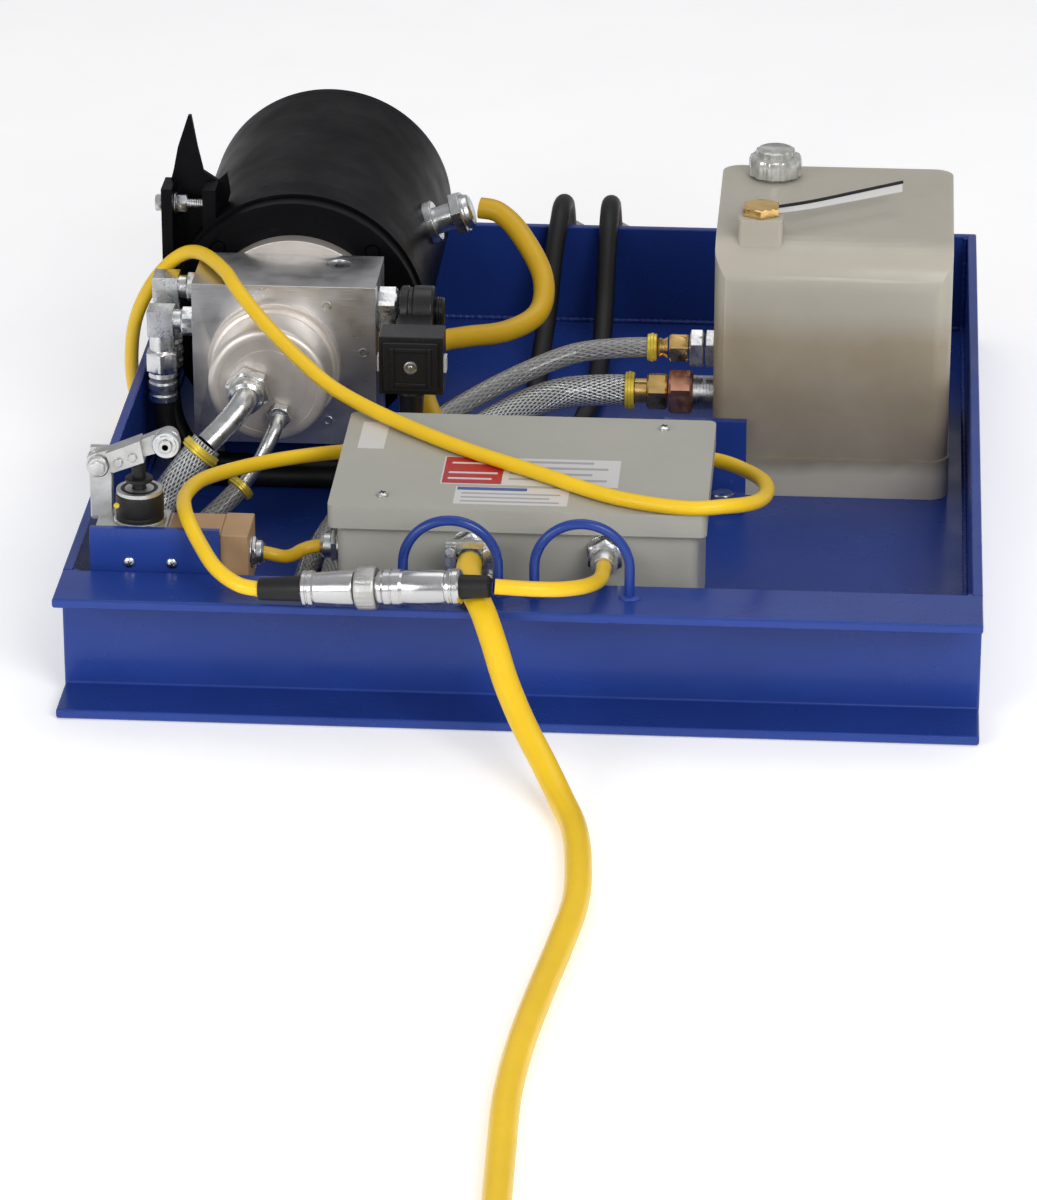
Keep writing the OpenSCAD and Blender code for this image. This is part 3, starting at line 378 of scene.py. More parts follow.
class Part:
    """Gathers solids into one mesh, all in millimetres."""

    def __init__(self):
        self.bm = bmesh.new()

    def rings(self, rings, closed=False):
        """A skin over the rings, capped at both ends or closed into a loop."""
        rows = [[self.bm.verts.new(mm(p)) for p in ring] for ring in rings]
        n = len(rows[0])
        pairs = list(zip(rows, rows[1:])) + ([(rows[-1], rows[0])] if closed else [])
        for a, b in pairs:
            for k in range(n):
                self.bm.faces.new((a[k], a[(k + 1) % n], b[(k + 1) % n], b[k]))
        if not closed:
            self.bm.faces.new(list(reversed(rows[0])))
            self.bm.faces.new(rows[-1])

    def revolve(self, profile, at, axis, sides=48):
        """profile is a list of (distance along the axis, radius)."""
        q = Vector(axis).to_track_quat("Z", "Y")
        at = Vector(at)
        self.rings([[at + q @ Vector((x, y, s)) for x, y in circle(max(r, 0.01), sides)] for s, r in profile])
        return self

    def rod(self, a, b, r, r2=None, sides=32, edge=0.4):
        a, b = Vector(a), Vector(b)
        r2 = r if r2 is None else r2
        h = (b - a).length
        e = min(edge, h / 3, r / 3, r2 / 3) if edge else 0
        profile = [(0, r - e), (e, r), (h - e, r2), (h, r2 - e)] if e else [(0, r), (h, r2)]
        return self.revolve(profile, a, b - a, sides)

    def pipe(self, a, b, r_out, r_in, sides=40):
        a, b = Vector(a), Vector(b)
        q = (b - a).to_track_quat("Z", "Y")
        h = (b - a).length
        e = min(0.4, (r_out - r_in) / 3)
        rings = [[a + q @ Vector((x, y, s)) for x, y in circle(r, sides)]
                 for s, r in ((0, r_in), (0, r_out - e), (e, r_out), (h - e, r_out), (h, r_out - e),
                              (h, r_in))]
        self.rings(rings, closed=True)
        return self

    def hexagon(self, a, b, flats, turn=0.0):
        """A nut or hexagon with the rounded corners of a turned bar."""
        a, b = Vector(a), Vector(b)
        h = (b - a).length
        c = flats / math.sqrt(3)
        q = (b - a).to_track_quat("Z", "Y")
        sides = 36
        rings = []
        for s, limit in ((0, flats / 2 * 0.96), (h * 0.10, c), (h * 0.90, c), (h, flats / 2 * 0.96)):
            ring = []
            for k in range(sides):
                w = TAU * k / sides
                flat = flats / 2 / math.cos((w + math.pi / 6) % (math.pi / 3) - math.pi / 6)
                r = min(flat, limit)
                ring.append(a + q @ Vector((r * math.cos(w + turn), r * math.sin(w + turn), s)))
            rings.append(ring)
        self.rings(rings)
        return self

    def box(self, a, b):
        made = bmesh.ops.create_cube(self.bm, size=1)["verts"]
        lo, hi = mm(a), mm(b)
        for v in made:
            v.co = Vector([lo[k] + (v.co[k] + 0.5) * (hi[k] - lo[k]) for k in range(3)])
        return self

    def slab(self, outline, lift, thick):
        """A plate: outline points, and lift turns (a, b, h) into a place, from h = 0 to h = thick."""
        self.rings([[lift(a, b, h) for a, b in outline] for h in (0, thick)])
        return self

    def ball(self, at, r, squash=(1, 1, 1), sides=20):
        made = bmesh.ops.create_uvsphere(self.bm, u_segments=sides, v_segments=sides // 2,
                                         radius=r * MM)["verts"]
        for v in made:
            v.co = Vector([v.co[k] * squash[k] for k in range(3)]) + mm(at)
        return self

    def tube(self, points, r, sides=20, steps=8):
        """A tube on a smooth curve through the points."""
        return self.line(smooth(points, steps), r, sides)

    def line(self, p, r, sides=20, swell=None):
        """A tube straight from point to point. Its UV runs once around it and along it in metres."""
        uv = self.bm.loops.layers.uv.verify()
        across = frames_along(p)
        rows, along = [], [0.0]
        for a, b in zip(p, p[1:]):
            along.append(along[-1] + (b - a).length)
        for i, (q, (u, w)) in enumerate(zip(p, across)):
            rr = r * (swell(i, len(p)) if swell else 1)
            spokes = [math.cos(TAU * k / sides) * u + math.sin(TAU * k / sides) * w for k in range(sides)]
            rows.append([self.bm.verts.new(mm(q + rr * spoke)) for spoke in spokes])
        for i in range(len(rows) - 1):
            for k in range(sides):
                f = self.bm.faces.new((rows[i][(k + 1) % sides], rows[i][k], rows[i + 1][k],
                                       rows[i + 1][(k + 1) % sides]))
                for loop, (uu, vv) in zip(f.loops, ((k + 1, i), (k, i), (k, i + 1), (k + 1, i + 1))):
                    loop[uv].uv = (uu / sides, along[vv] * MM)
        self.bm.faces.new(rows[0])
        self.bm.faces.new(list(reversed(rows[-1])))
        return self

    def done(self, name, material, slot=None, body="frame", bevel=0.0, stands_for=(), angle=32):
        bmesh.ops.recalc_face_normals(self.bm, faces=self.bm.faces)
        mesh = bpy.data.meshes.new(name)
        self.bm.to_mesh(mesh)
        self.bm.free()
        return placed(name, mesh, material, body, bevel, stands_for, angle)


def placed(name, mesh, material, body, bevel, stands_for, angle):
    o = bpy.data.objects.new(name, mesh)
    scene.collection.objects.link(o)
    mesh.materials.append(material)
    mesh.shade_smooth()
    mesh.set_sharp_from_angle(angle=math.radians(angle))
    if bevel:
        b = o.modifiers.new("bevel", "BEVEL")
        b.width = bevel * MM
        b.segments = 2
        b.limit_method = "ANGLE"
        b.angle_limit = math.radians(angle)
        b.harden_normals = True
    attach(o, body)
    if stands_for:
        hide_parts(*stands_for)
    return o


def from_node(node, material, bevel):
    """The CAD node's own form, with its edges softened."""
    bm = bmesh.new()
    bm.from_mesh(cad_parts[node].data)
    bmesh.ops.remove_doubles(bm, verts=bm.verts, dist=2e-6)
    bmesh.ops.dissolve_limit(bm, angle_limit=math.radians(0.6), verts=bm.verts, edges=bm.edges)
    mesh = bpy.data.meshes.new("soft_" + node)
    bm.to_mesh(mesh)
    bm.free()
    placed("soft_" + node, mesh, material, "frame", bevel, (node,), 32)


def dress(node, material):
    """The CAD node itself, with this finish."""
    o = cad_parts[node]
    o.data.materials.clear()
    o.data.materials.append(material)


def bead(points, r, name):
    """A weld bead: a rippled string laid along a joint."""
    pts = [Vector(q) for q in points]
    dense = []
    for a, b in zip(pts, pts[1:]):
        steps = max(2, int((b - a).length / 1.5))
        dense += [a + (b - a) * k / steps for k in range(steps)]
    dense.append(pts[-1])
    part = Part()
    part.line(dense, r, 8, lambda i, n: 0.86 + 0.2 * math.sin(i * 2.1) + 0.06 * math.sin(i * 5.3))
    part.done(name, WELD, "blue_paint", angle=60)


# ---- free cords first

POWER = [
    (-30, -277, 83.6), (-29.5, -296, 84.2), (-27, -313, 84.4), (-22.5, -328, 84), (-17, -341, 79.5),
    (-10, -356, 67.5), (-2, -372, 51), (9, -390, 34), (22, -412, 20), (33, -436, 10.5), (43, -470, 7.7),
    (48, -515, 7.6), (49, -560, 7.6),
    (44, -610, 7.6), (37, -665, 7.6), (31, -720, 7.6), (28, -775, 7.6), (29, -830, 7.6), (31, -900, 7.6),
]
POWER_R, PENDANT_R, HOSE_R = 7.5, 4.5, 6.5
LIE_Z = 7.6  # the middle of the power cord where it lies on the floor
COIL = (120.5, -1016)
COIL_R = 89.5
COIL_STEP = 2 * POWER_R


def coil_turns():
    """Three and a quarter turns: nearly two side by side on the floor, the others on top of them."""
    made = []
    steps = 300
    for k in range(steps + 1):
        a = 180 + 1170 * k / steps
        r, z = COIL_R, LIE_Z
        if a > 480:
            r = COIL_R - COIL_STEP * min(1, (a - 480) / 60)
        if a > 820:
            z = LIE_Z + COIL_STEP * min(1, (a - 820) / 80)
        if a > 1200:
            r = COIL_R - COIL_STEP + COIL_STEP * min(1, (a - 1200) / 80)
        w = math.radians(a)
        made.append(Vector((COIL[0] + r * math.cos(w), COIL[1] + r * math.sin(w), z)))
    return made


turns = coil_turns()
power_line = smooth(POWER, 8)[:-1]
power_line += smooth([POWER[-1], (31, -960, LIE_Z), tuple(turns[0])], 4)[:-1] + turns
power_line += smooth([tuple(power_line[-1]), (150, -1109, 22), (180, -1114, 20)], 6)[1:]
power = Part().line(power_line, POWER_R, 20).done("power_line", CORD, "yellow_jacket",
                                              stands_for=("power_cord", "power_coil"), angle=80)
PLUG_Y = -1114
plug = Part()
plug.revolve([(0, 8.6), (3, 9.4), (6, 8.8), (9, 9.9), (12, 9.2), (15, 10.4), (18, 9.7), (21, 10.9),
              (24, 10.2), (27, 11.4),
              (30, 10.8), (34, 12.4), (37, 15), (44, 18), (47, 18.6), (68, 18.6), (70, 19.8), (79, 20),
              (80, 19)],
             (178, PLUG_Y, 20), (1, 0, 0))
for y in (-6.5, 6.5):
    plug.box((257, PLUG_Y + y - 0.8, 17), (276, PLUG_Y + y + 0.8, 23.5))
plug.rod((257, PLUG_Y, 11), (277, PLUG_Y, 11), 2.4)
plug = plug.done("mains_plug", PLASTIC, "black_plastic", bevel=0.3, stands_for=("power_plug",))

PENDANT = [
    (-147.3, -328.3, 85.3), (-160, -325, 86.5), (-174, -314, 91.5), (-185, -298, 99.5), (-194, -280, 106.8),
    (-200, -254, 106), (-202, -226, 101), (-198, -194, 96), (-185, -163, 90), (-160, -132, 85),
    (-125, -109, 82),
    (-80, -98, 82), (-30, -94, 82), (30, -94, 82), (75, -98, 82), (107, -108, 83), (127, -132, 86),
    (138, -168, 94), (140, -208, 103), (134, -238, 110), (118, -256, 114.5), (92, -261, 115),
    (50, -246, 114.8), (4, -212, 114.8), (-44, -176, 114.8), (-88, -136, 115.5),
    (-125, -100, 119), (-150, -74, 128), (-176, -44, 141), (-196, -14, 151.5), (-206, 8, 154.5),
    (-222, 38, 154), (-236, 56, 149), (-250, 65, 137), (-264, 72, 117), (-275, 84, 90), (-281, 104, 55),
    (-283, 132, 22), (-283, 165, 7), (-283, 200, 4.8), (-283, 245, 4.8), (-281, 280, 4.8),
    (-271, 302, 4.8), (-254, 314, 4.8), (-241, 325, 4.7), (-235, 338, 4.6), (-234, 348, 4.6),
]
PENDANT_TAIL = [(208, 352, 4.6), (209.5, 358, 4.8), (215, 365, 5.5), (226, 371, 7.5), (240, 378, 11),
                (250, 389, 14),
                (251, 402, 15.5), (244, 414, 16), (231, 421, 16), (215, 422, 16)]
CURL = (-234, 208)  # from this X to that one
CURL_Y = 350
CURL_R = 9
CURL_LOW = 4.6  # the middle of the cord where it lies on the floor
CURL_TURNS = 48


def curl():
    made, per_turn = [], 16
    n = CURL_TURNS * per_turn
    for k in range(n + 1):
        w = TAU * k / per_turn - math.pi / 2
        made.append(Vector((CURL[0] + (CURL[1] - CURL[0]) * k / n, CURL_Y + CURL_R * math.cos(w),
                            CURL_LOW + CURL_R + CURL_R * math.sin(w))))
    return made


pendant_line = smooth(PENDANT, 8) + curl() + smooth(PENDANT_TAIL, 6)
pendant = Part().line(pendant_line, PENDANT_R, 14).done("pendant_line", CORD, "yellow_jacket",
                                                 stands_for=("pendant_cord", "pendant_curl"), angle=80)

PRESSURE_FRONT = [
    (-248, 15, 64), (-247, 15, 48), (-240, 14, 30), (-226, 13, 18), (-206, 12, 15), (-150, 12, 15),
    (-90, 14, 15), (-45, 26, 15), (-12, 54, 15), (8, 100, 15), (16, 160, 15), (18, 220, 18),
    (18, 266, 37), (18, 300, 66), (18, 318, 80), (18, 336, 86), (18, 356, 81), (18, 376, 61),
    (18, 394, 36), (18, 414, 17), (18, 434, 11), (18, 452, 10.5),
]
PRESSURE_BACK = [
    (-248, 45, 76), (-248, 44, 58), (-244, 41, 38), (-232, 37, 21), (-212, 34, 15), (-150, 34, 15),
    (-95, 36, 15), (-58, 50, 15), (-34, 82, 15), (-24, 130, 15), (-22, 180, 15), (-22, 224, 19),
    (-20, 266, 37), (-18, 300, 66), (-16, 318, 80), (-15, 336, 86), (-14, 356, 81), (-14, 376, 61),
    (-14, 394, 36), (-14, 414, 17), (-14, 434, 11), (-14, 452, 10.5),
]
END_Y, END_Z = 452, 10.5
for name, route in (("front", PRESSURE_FRONT), ("back", PRESSURE_BACK)):
    x = route[-1][0]
    line = smooth(route, 8)
    hose = Part().line(line, HOSE_R, 18).done("pressure_line_" + name, RUBBER, "black_rubber",
                                              stands_for=("pressure_hose_" + name,), angle=80)
    end = Part()
    end.revolve([(0, 7), (1, 8.8), (5, 9), (6, 8.3), (8, 8.3), (9, 9), (13, 9), (14, 8.3), (16, 8.3), (17, 9),
                 (22, 9), (23, 8),
                 (24, 6)], (x, END_Y, END_Z), (0, 1, 0))
    end.hexagon((x, END_Y + 24, END_Z), (x, END_Y + 41, END_Z), 18)
    end.pipe((x, END_Y + 41, END_Z), (x, END_Y + 42, END_Z), 8.4, 7.1)
    end = end.done("hose_end_" + name, ZINC, "zinc", stands_for=("hose_ends",))

# ---- pan

from_node("pan_floor", BLUE, 0.8)
from_node("front_channel", BLUE, 1.6)
from_node("pan_rails", BLUE, 1.2)
from_node("brackets", BLUE, 0.8)

GUARD_X = (-39, 37)
GUARD_Y = -305
GUARD_R = 27.5
RAIL_TOP, ARCH_Z = 76, 94
guards, feet = Part(), Part()
for x in GUARD_X:
    arch = [(x - GUARD_R, GUARD_Y, z) for z in (RAIL_TOP, 86, ARCH_Z)]
    for a in range(10, 180, 10):
        w = math.radians(a)
        arch.append((x - GUARD_R * math.cos(w), GUARD_Y, ARCH_Z + GUARD_R * math.sin(w)))
    arch += [(x + GUARD_R, GUARD_Y, z) for z in (ARCH_Z, 86, RAIL_TOP)]
    guards.tube(arch, 3, 16, 3)
    for side in (-GUARD_R, GUARD_R):
        feet.ball((x + side, GUARD_Y, RAIL_TOP), 5.2, (1.25, 0.95, 0.42), 16)
        feet.ball((x + side + 3, GUARD_Y - 1, RAIL_TOP + 0.2), 3.2, (1.3, 1, 0.5), 12)
guards.done("guard_rod", BLUE, "blue_paint", stands_for=("guard_rings",), angle=60)
feet.done("guard_welds", WELD, "blue_paint", angle=60)

for k, points in enumerate((
    [(-262, -285, 9), (262, -285, 9)], [(-261, -286, 9), (-261, 323, 9)], [(261, -286, 9), (261, 323, 9)],
    [(-261, 323, 9), (261, 323, 9)], [(-261, -285, 10), (-261, -285, 75)], [(261, -285, 10), (261, -285, 75)],
    [(-261, 323, 10), (-261, 323, 75)], [(261, 323, 10), (261, 323, 75)],
    [(70, 12, 9), (122, 12, 9)], [(-252, -277, 9), (-176, -277, 9)], [(-252, -283, 9), (-176, -283, 9)],
    [(-214, 45, 9), (-124, 45, 9)],
)):
    bead(points, 2.0, f"weld_{k}")

# ---- motor

AX, AZ = -169, 97
from_node("motor_shell", BLACK, 0.5)
from_node("motor_front_bell", BLACK, 0.6)
from_node("motor_rear_bell", BLACK, 0.6)
from_node("motor_strap", BLACK, 0.4)
from_node("adapter_ring", TURNED, 0.5)
for node, material, slot in (
    ("motor_stator", COPPER, "copper"),
    ("motor_rotor", STEEL, "steel"),
    ("motor_bearings", STEEL, "steel"),
    ("shaft_coupler", IRON, "iron"),
    ("pump_body", MILLED, "aluminium"),
    ("drive_gear", STEEL, "steel"),
    ("driven_gear", STEEL, "steel"),
    ("relief_valve", STEEL, "steel"),
    ("valve_plunger", STEEL, "steel"),
    ("suction_strainer", STEEL, "steel"),
    ("contactor", PLASTIC, "black_plastic"),
    ("contactor_armature", PLASTIC, "black_plastic"),
    ("transformer", COPPER, "copper"),
    ("terminal_strip", WHITE, "grey_paint"),
):
    dress(node, material)


def round_motor(r, a, y):
    """The point at radius r and a degrees round the motor's axis."""
    w = math.radians(a)
    return (AX + r * math.cos(w), y, AZ + r * math.sin(w))


trim = Part()
trim.pipe((AX, 70.5, AZ), (AX, 75, AZ), 81.4, 77)
for a in (45, 135, 225, 315):
    trim.rod(round_motor(70, a, 74), round_motor(70, a, 71), 4.2)
trim.done("bell_rim", BLACK, "black_paint")
back = Part()
for a in range(0, 360, 30):
    back.rod(round_motor(44, a, 302.5), round_motor(66, a, 302.5), 3, sides=12)
for a in (45, 135, 225, 315):
    back.hexagon(round_motor(72, a, 302), round_motor(72, a, 306), 8)
back.done("rear_ribs", BLACK, "black_paint")

# ---- block, pump and valve

from_node("manifold_block", MILLED, 0.8)
cover = Part()
cover.revolve([(-8, 20), (-8, 39.8), (-2, 39.9), (-1.6, 42), (5, 42), (6, 41.4), (6.2, 39.6), (9.5, 39.4),
               (10.2, 37.6), (12.4, 37.4),
               (13, 38), (36, 38), (37.6, 37.6), (38.9, 36.6), (39.7, 35.2), (40, 33.4), (40, 31),
               (39.7, 30.8), (39.7, 24),
               (39.85, 23.8), (39.85, 0.5)],
              (-175, 2, 96), (0, -1, 0), 96)
cover.done("pump_cup", TURNED, "aluminium", stands_for=("pump_cover",), angle=24)

VALVE_Y, VALVE_Z = 20, 127
valve = Part()
valve.hexagon((-111, VALVE_Y, VALVE_Z), (-98.5, VALVE_Y, VALVE_Z), 27)
valve.revolve([(0, 11), (0.8, 12.4), (1.6, 11)], (-98.4, VALVE_Y, VALVE_Z), (1, 0, 0))
valve.rod((-98, VALVE_Y, VALVE_Z), (-70, VALVE_Y, VALVE_Z), 6.5)
valve.done("valve_body", ZINC, "zinc", stands_for=("valve_cartridge",))
coil = Part()
coil.revolve([(0, 14), (1, 15.6), (5, 16), (6, 14.8), (8, 14.8), (9, 16), (20, 16), (21.5, 15), (22, 12)],
             (-97, VALVE_Y, VALVE_Z), (1, 0, 0))
coil.revolve([(0, 8.5)] + [(0.6 + k * 0.8, 9.2 if k % 2 else 8.4) for k in range(6)] + [(6, 7.5)],
             (-75, VALVE_Y, VALVE_Z), (1, 0, 0), 36)
coil.box((-97, -19, 103), (-75, 20, 130))
coil.done("coil_case", PLASTIC, "black_plastic", bevel=0.8, stands_for=("solenoid_coil",))
din = Part()
din.box((-105, -43, 95), (-65, -20, 133))
din.box((-102, -46, 98), (-68, -42, 130))
for a, b in (((-98, -47.4, 101), (-95, -45, 127)), ((-75, -47.4, 101), (-72, -45, 127)),
             ((-95, -47.4, 101), (-75, -45, 104)),
             ((-95, -47.4, 124), (-75, -45, 127))):
    din.box(a, b)
din.revolve([(0, 9), (2, 9.4), (4, 8.2), (15, 7.6), (16, 6.8)], (-86, -33, 95), (0, 0, -1))
din.done("din_case", PLASTIC, "black_plastic", bevel=1.1, stands_for=("din_plug",))
din_trim = Part()
din_trim.revolve([(0, 4.2), (0.8, 4.2), (1.0, 3.4), (0.5, 3.0), (0.5, 1.4), (1.6, 1.2)], (-85, -46, 114),
                 (0, -1, 0), 28)
din_trim.done("din_screw", ZINC, "zinc")
tabs = Part()
for x in (-106, -64.6):
    tabs.box((x - 0.6, -38, 108), (x + 1.2, -30, 118))
tabs.done("din_tabs", WHITE, "grey_paint", bevel=0.3)

# ---- fittings

ELBOW_X = -248
PORT_Y, SUCTION_Z, RETURN_Z = 60, 61, 91  # the two ports in the side of the tank
steel = Part()
for y, z, low in ((15, 118, 64), (45, 130, 76)):
    steel.hexagon((-235, y, z), (-227, y, z), 17)
    steel.rod((-250, y, z), (-235, y, z), 7.4)
    steel.box((-256.5, y - 8.5, z - 8.5), (-240, y + 8.5, z + 8.5))
    steel.rod((ELBOW_X, y, low + 34), (ELBOW_X, y, z - 6), 8)
    steel.hexagon((ELBOW_X, y, low + 20), (ELBOW_X, y, low + 35), 19)
    steel.revolve([(0, 7), (1, 9), (5, 9.2), (6, 8.4), (8, 8.4), (9, 9.2), (13, 9.2), (14, 8.4), (16, 8.4),
                   (17, 9.2), (20, 8.6),
                   (21, 7)], (ELBOW_X, y, low), (0, 0, 1), 32)
steel.hexagon((-187, -38, 95), (-187, -49, 95), 25, 0.2)
steel.revolve([(0, 11), (2, 11.6), (6, 10.6), (8, 8.4)], (-187, -46, 95), (0, -1, -0.2))
steel.tube([(-187, -50, 95), (-188, -58, 93), (-193, -65, 87), (-201, -71, 79), (-209, -77, 72)], 7.5, 24, 8)
steel.hexagon((-168, -38, 78), (-168, -46, 78), 14, 0.3)
steel.tube([(-168, -46, 78), (-169, -53, 74), (-173, -59, 66), (-180, -64, 53), (-188, -69, 42)], 4.5, 20, 8)
steel.rod((86, PORT_Y, SUCTION_Z), (100, PORT_Y, SUCTION_Z), 11)
steel.revolve([(0, 10.4)] + [(1 + k, 11.2 if k % 2 else 10.3) for k in range(12)], (87, PORT_Y, SUCTION_Z),
              (1, 0, 0), 32)
steel.hexagon((84, PORT_Y, RETURN_Z), (93, PORT_Y, RETURN_Z), 22)
steel.hexagon((94, PORT_Y, RETURN_Z), (100, PORT_Y, RETURN_Z), 22)
steel.done("steel_parts", ZINC, "zinc", bevel=0.4, stands_for=("steel_fittings",))
brass = Part()
brass.hexagon((57, PORT_Y, SUCTION_Z), (70, PORT_Y, SUCTION_Z), 22, 0.25)
brass.rod((49, PORT_Y, SUCTION_Z), (57, PORT_Y, SUCTION_Z), 8)
brass.hexagon((71, PORT_Y, RETURN_Z), (83, PORT_Y, RETURN_Z), 17, 0.2)
brass.revolve([(0, 5), (2, 6.4), (4, 5.4), (7, 7)], (63, PORT_Y, RETURN_Z), (1, 0, 0), 24)
brass.done("brass_parts", BRASS, "brass", stands_for=("brass_fittings",))
copper = Part()
copper.hexagon((71, PORT_Y, SUCTION_Z), (86, PORT_Y, SUCTION_Z), 27, 0.1)
copper.done("copper_bush", COPPER, "copper")


def sleeve(part, at, along, l, r_out, r_in):
    """A short sleeve with a raised band round its middle."""
    d = unit(Vector(along))
    a = Vector(at)
    part.pipe(a, a + d * l, r_out, r_in)
    part.pipe(a + d * l * 0.32, a + d * l * 0.68, r_out + 0.6, r_in)


ferrules = Part()
sleeve(ferrules, (43, PORT_Y, SUCTION_Z), (1, 0, 0), 6, 12, 9)
sleeve(ferrules, (57, PORT_Y, RETURN_Z), (1, 0, 0), 6, 8.6, 6)
sleeve(ferrules, (-214.5, -79.8, 65.6), (6, 3, 7), 6, 12.2, 7)
sleeve(ferrules, (-191, -71.2, 39.2), (9, 7, 8), 5, 8.8, 4)
ferrules.done("ferrules", GOLD, "yellow_plate", stands_for=("hose_ferrules",))

SUCTION = [
    (49, 60, 61), (30, 60, 61), (2, 54, 60), (-26, 34, 56), (-52, 4, 49), (-78, -30, 40),
    (-100, -66, 30), (-115, -102, 21.5), (-121, -134, 18.5), (-122, -162, 18.5), (-130.6, -194, 18.5),
    (-154, -217.4, 18.5), (-186, -226, 18.5), (-218, -217.4, 18.5), (-241.4, -194, 18.5), (-250, -162, 18.5),
    (-250, -130, 20), (-246, -108, 26), (-236, -92, 39), (-225, -85, 53), (-215, -80, 65), (-209, -77, 72),
]
RETURN = [
    (63, 60, 91), (40, 60, 90), (10, 58, 86), (-22, 44, 77), (-54, 20, 67), (-81, -8, 57),
    (-107, -44, 43), (-129, -84, 26), (-140, -122, 16), (-142, -156, 15), (-148, -181, 15),
    (-164, -198, 15), (-186, -204, 15), (-208, -198, 15), (-224, -181, 15), (-230, -156, 15),
    (-230, -126, 16), (-221, -102, 19), (-208, -86, 26), (-197, -76, 34), (-188, -69, 42),
]
Part().tube(SUCTION, 10, 28, 10).done("suction_line", BRAID, "braid", stands_for=("suction_hose",), angle=80)
Part().tube(RETURN, HOSE_R, 22, 10).done("return_line", CLEAR_HOSE, "clear_hose", stands_for=("return_hose",),
                                         angle=80)

# ---- tank

from_node("tank", TANK, 3.0)
NECK, DRAIN = (134, 161), (128, 49)
cap = Part()
cap_rings = []
for s, r in ((0, 15), (1, 16.4), (10.5, 16.4), (12.6, 15.6), (13.2, 12.2), (17, 12), (18, 10.4)):
    ring = []
    for k in range(96):
        ridge = 1 + (0.045 if (k // 4) % 2 and 0.5 < s < 17.5 else 0)
        w = TAU * k / 96
        ring.append((NECK[0] + r * ridge * math.cos(w), NECK[1] + r * ridge * math.sin(w), 174 + s))
    cap_rings.append(ring)
cap.rings(cap_rings)
cap.done("cap", CLEAR, "natural_plastic", body="cap", stands_for=("filler_cap",), angle=40)
Part().hexagon((*DRAIN, 187), (*DRAIN, 192.5), 22).done("drain_plug", BRASS, "brass",
                                                        stands_for=("tank_plug",))
tag, edge = Part(), Part()
TAG = [((137, 50, 191), (137, 47, 187.6)), ((160, 64, 190.5), (160, 61, 186.6)),
       ((190, 84, 191), (190, 80.5, 186.4)),
       ((216, 100, 192), (216, 96, 187))]
tag.rings([[top, low, (low[0], low[1] + 0.7, low[2]), (top[0], top[1] + 0.7, top[2])] for top, low in TAG])
tag.done("plug_tag", LABEL, "grey_paint")
edge.tube([top for top, low in TAG], 1.1, 8, 4)
edge.done("plug_tag_edge", PLASTIC, "black_plastic")

# ---- control box

from_node("box_body", BOX, 1.2)
from_node("box_lid", BOX, 2.2)


BOX_TOP = 110


def decal(name, corners, z, material, slot):
    """A thin label, z above the lid."""
    part = Part()
    part.slab(corners, lambda a, b, h: (a, b, BOX_TOP + z + h), 0.15)
    part.done(name, material, slot)


def patch(x0, y0, x1, y1):
    return [(x0, y0), (x1, y0), (x1, y1), (x0, y1)]


decal("label_large", patch(-52, -222, 53, -180), 0.02, LABEL, "grey_paint")
decal("label_large_red", patch(-51, -221, -16, -181), 0.2, LABEL_RED, "red_plastic")
decal("label_small", patch(-42, -252, 25, -226), 0.02, LABEL, "grey_paint")
decal("label_small_blue", patch(-41, -231, 0, -227), 0.2, LABEL_BLUE, "blue_paint")
decal("label_corner", patch(-106, -170, -90, -128), 0.02, LABEL, "grey_paint")
bars = Part()
for k in range(4):
    bars.slab(patch(-12, -214 + 9 * k, 46 - 9 * (k % 2), -211 + 9 * k), lambda a, b,
              h: (a, b, BOX_TOP + 0.2 + h), 0.1)
for k in range(3):
    bars.slab(patch(-38, -249 + 6 * k, 20 - 6 * (k % 2), -247 + 6 * k), lambda a, b,
              h: (a, b, BOX_TOP + 0.2 + h), 0.1)
bars.done("label_bars", LABEL_GREY, "grey_paint")
dashes = Part()
for y, x0, x1 in ((-214, -48, -22), (-205, -48, -19), (-190, -47, -26)):
    dashes.slab(patch(x0, y - 1.2, x1, y + 1.2), lambda a, b, h: (a, b, BOX_TOP + 0.36 + h), 0.1)
dashes.done("label_dashes", LABEL, "grey_paint")


def cross_head(part, dark, at, axis, r):
    """A round head with a cross in it, drawn as black bars: painted shade in the slot."""
    part.revolve([(0, r), (r * 0.35, r * 0.96), (r * 0.6, r * 0.6), (r * 0.66, 0.2)], at, axis, 28)
    q = Vector(axis).to_track_quat("Z", "Y")
    for turn in (0.4, 0.4 + math.pi / 2):
        d = q @ Vector((math.cos(turn), math.sin(turn), 0))
        top = Vector(at) + unit(Vector(axis)) * r * 0.62
        dark.rod(top - d * r * 0.55, top + d * r * 0.55, r * 0.12, sides=8, edge=0)


heads, painted_shade_crosses = Part(), Part()
for x in (-84, 76):
    for y in (-243, -127):
        cross_head(heads, painted_shade_crosses, (x, y, BOX_TOP), (0, 0, 1), 3.6)
for x in (-229, -204):
    cross_head(heads, painted_shade_crosses, (x, -282, 80), (0, -1, 0), 3.2)
heads.rod((-250, 96, 168), (-229, 96, 168), 2.9)
heads.revolve([(k * 0.7, 3.1 if k % 2 else 2.75) for k in range(14)], (-239.5, 96, 168), (1, 0, 0), 24)
heads.rod((-249, 96, 168), (-247.4, 96, 168), 6.8)
heads.hexagon((-261, 96, 168), (-256, 96, 168), 10, 0.3)
heads.hexagon((-247.4, 96, 168), (-240.5, 96, 168), 10.5, 0.3)
for x, z in ((-142, 135), (-119, 104), (-142, 58)):
    heads.revolve([(0, 3.4), (0.8, 3.2), (0.8, 1.8), (0.2, 1.6)], (x, 2, z), (0, -1, 0), 24)
for x, y, z in ((84, -2, 12), (108, -2, 12), (-204, 70, 13), (-134, 70, 13)):
    heads.hexagon((x, y, z), (x, y, z + 6), 13, 0.4)
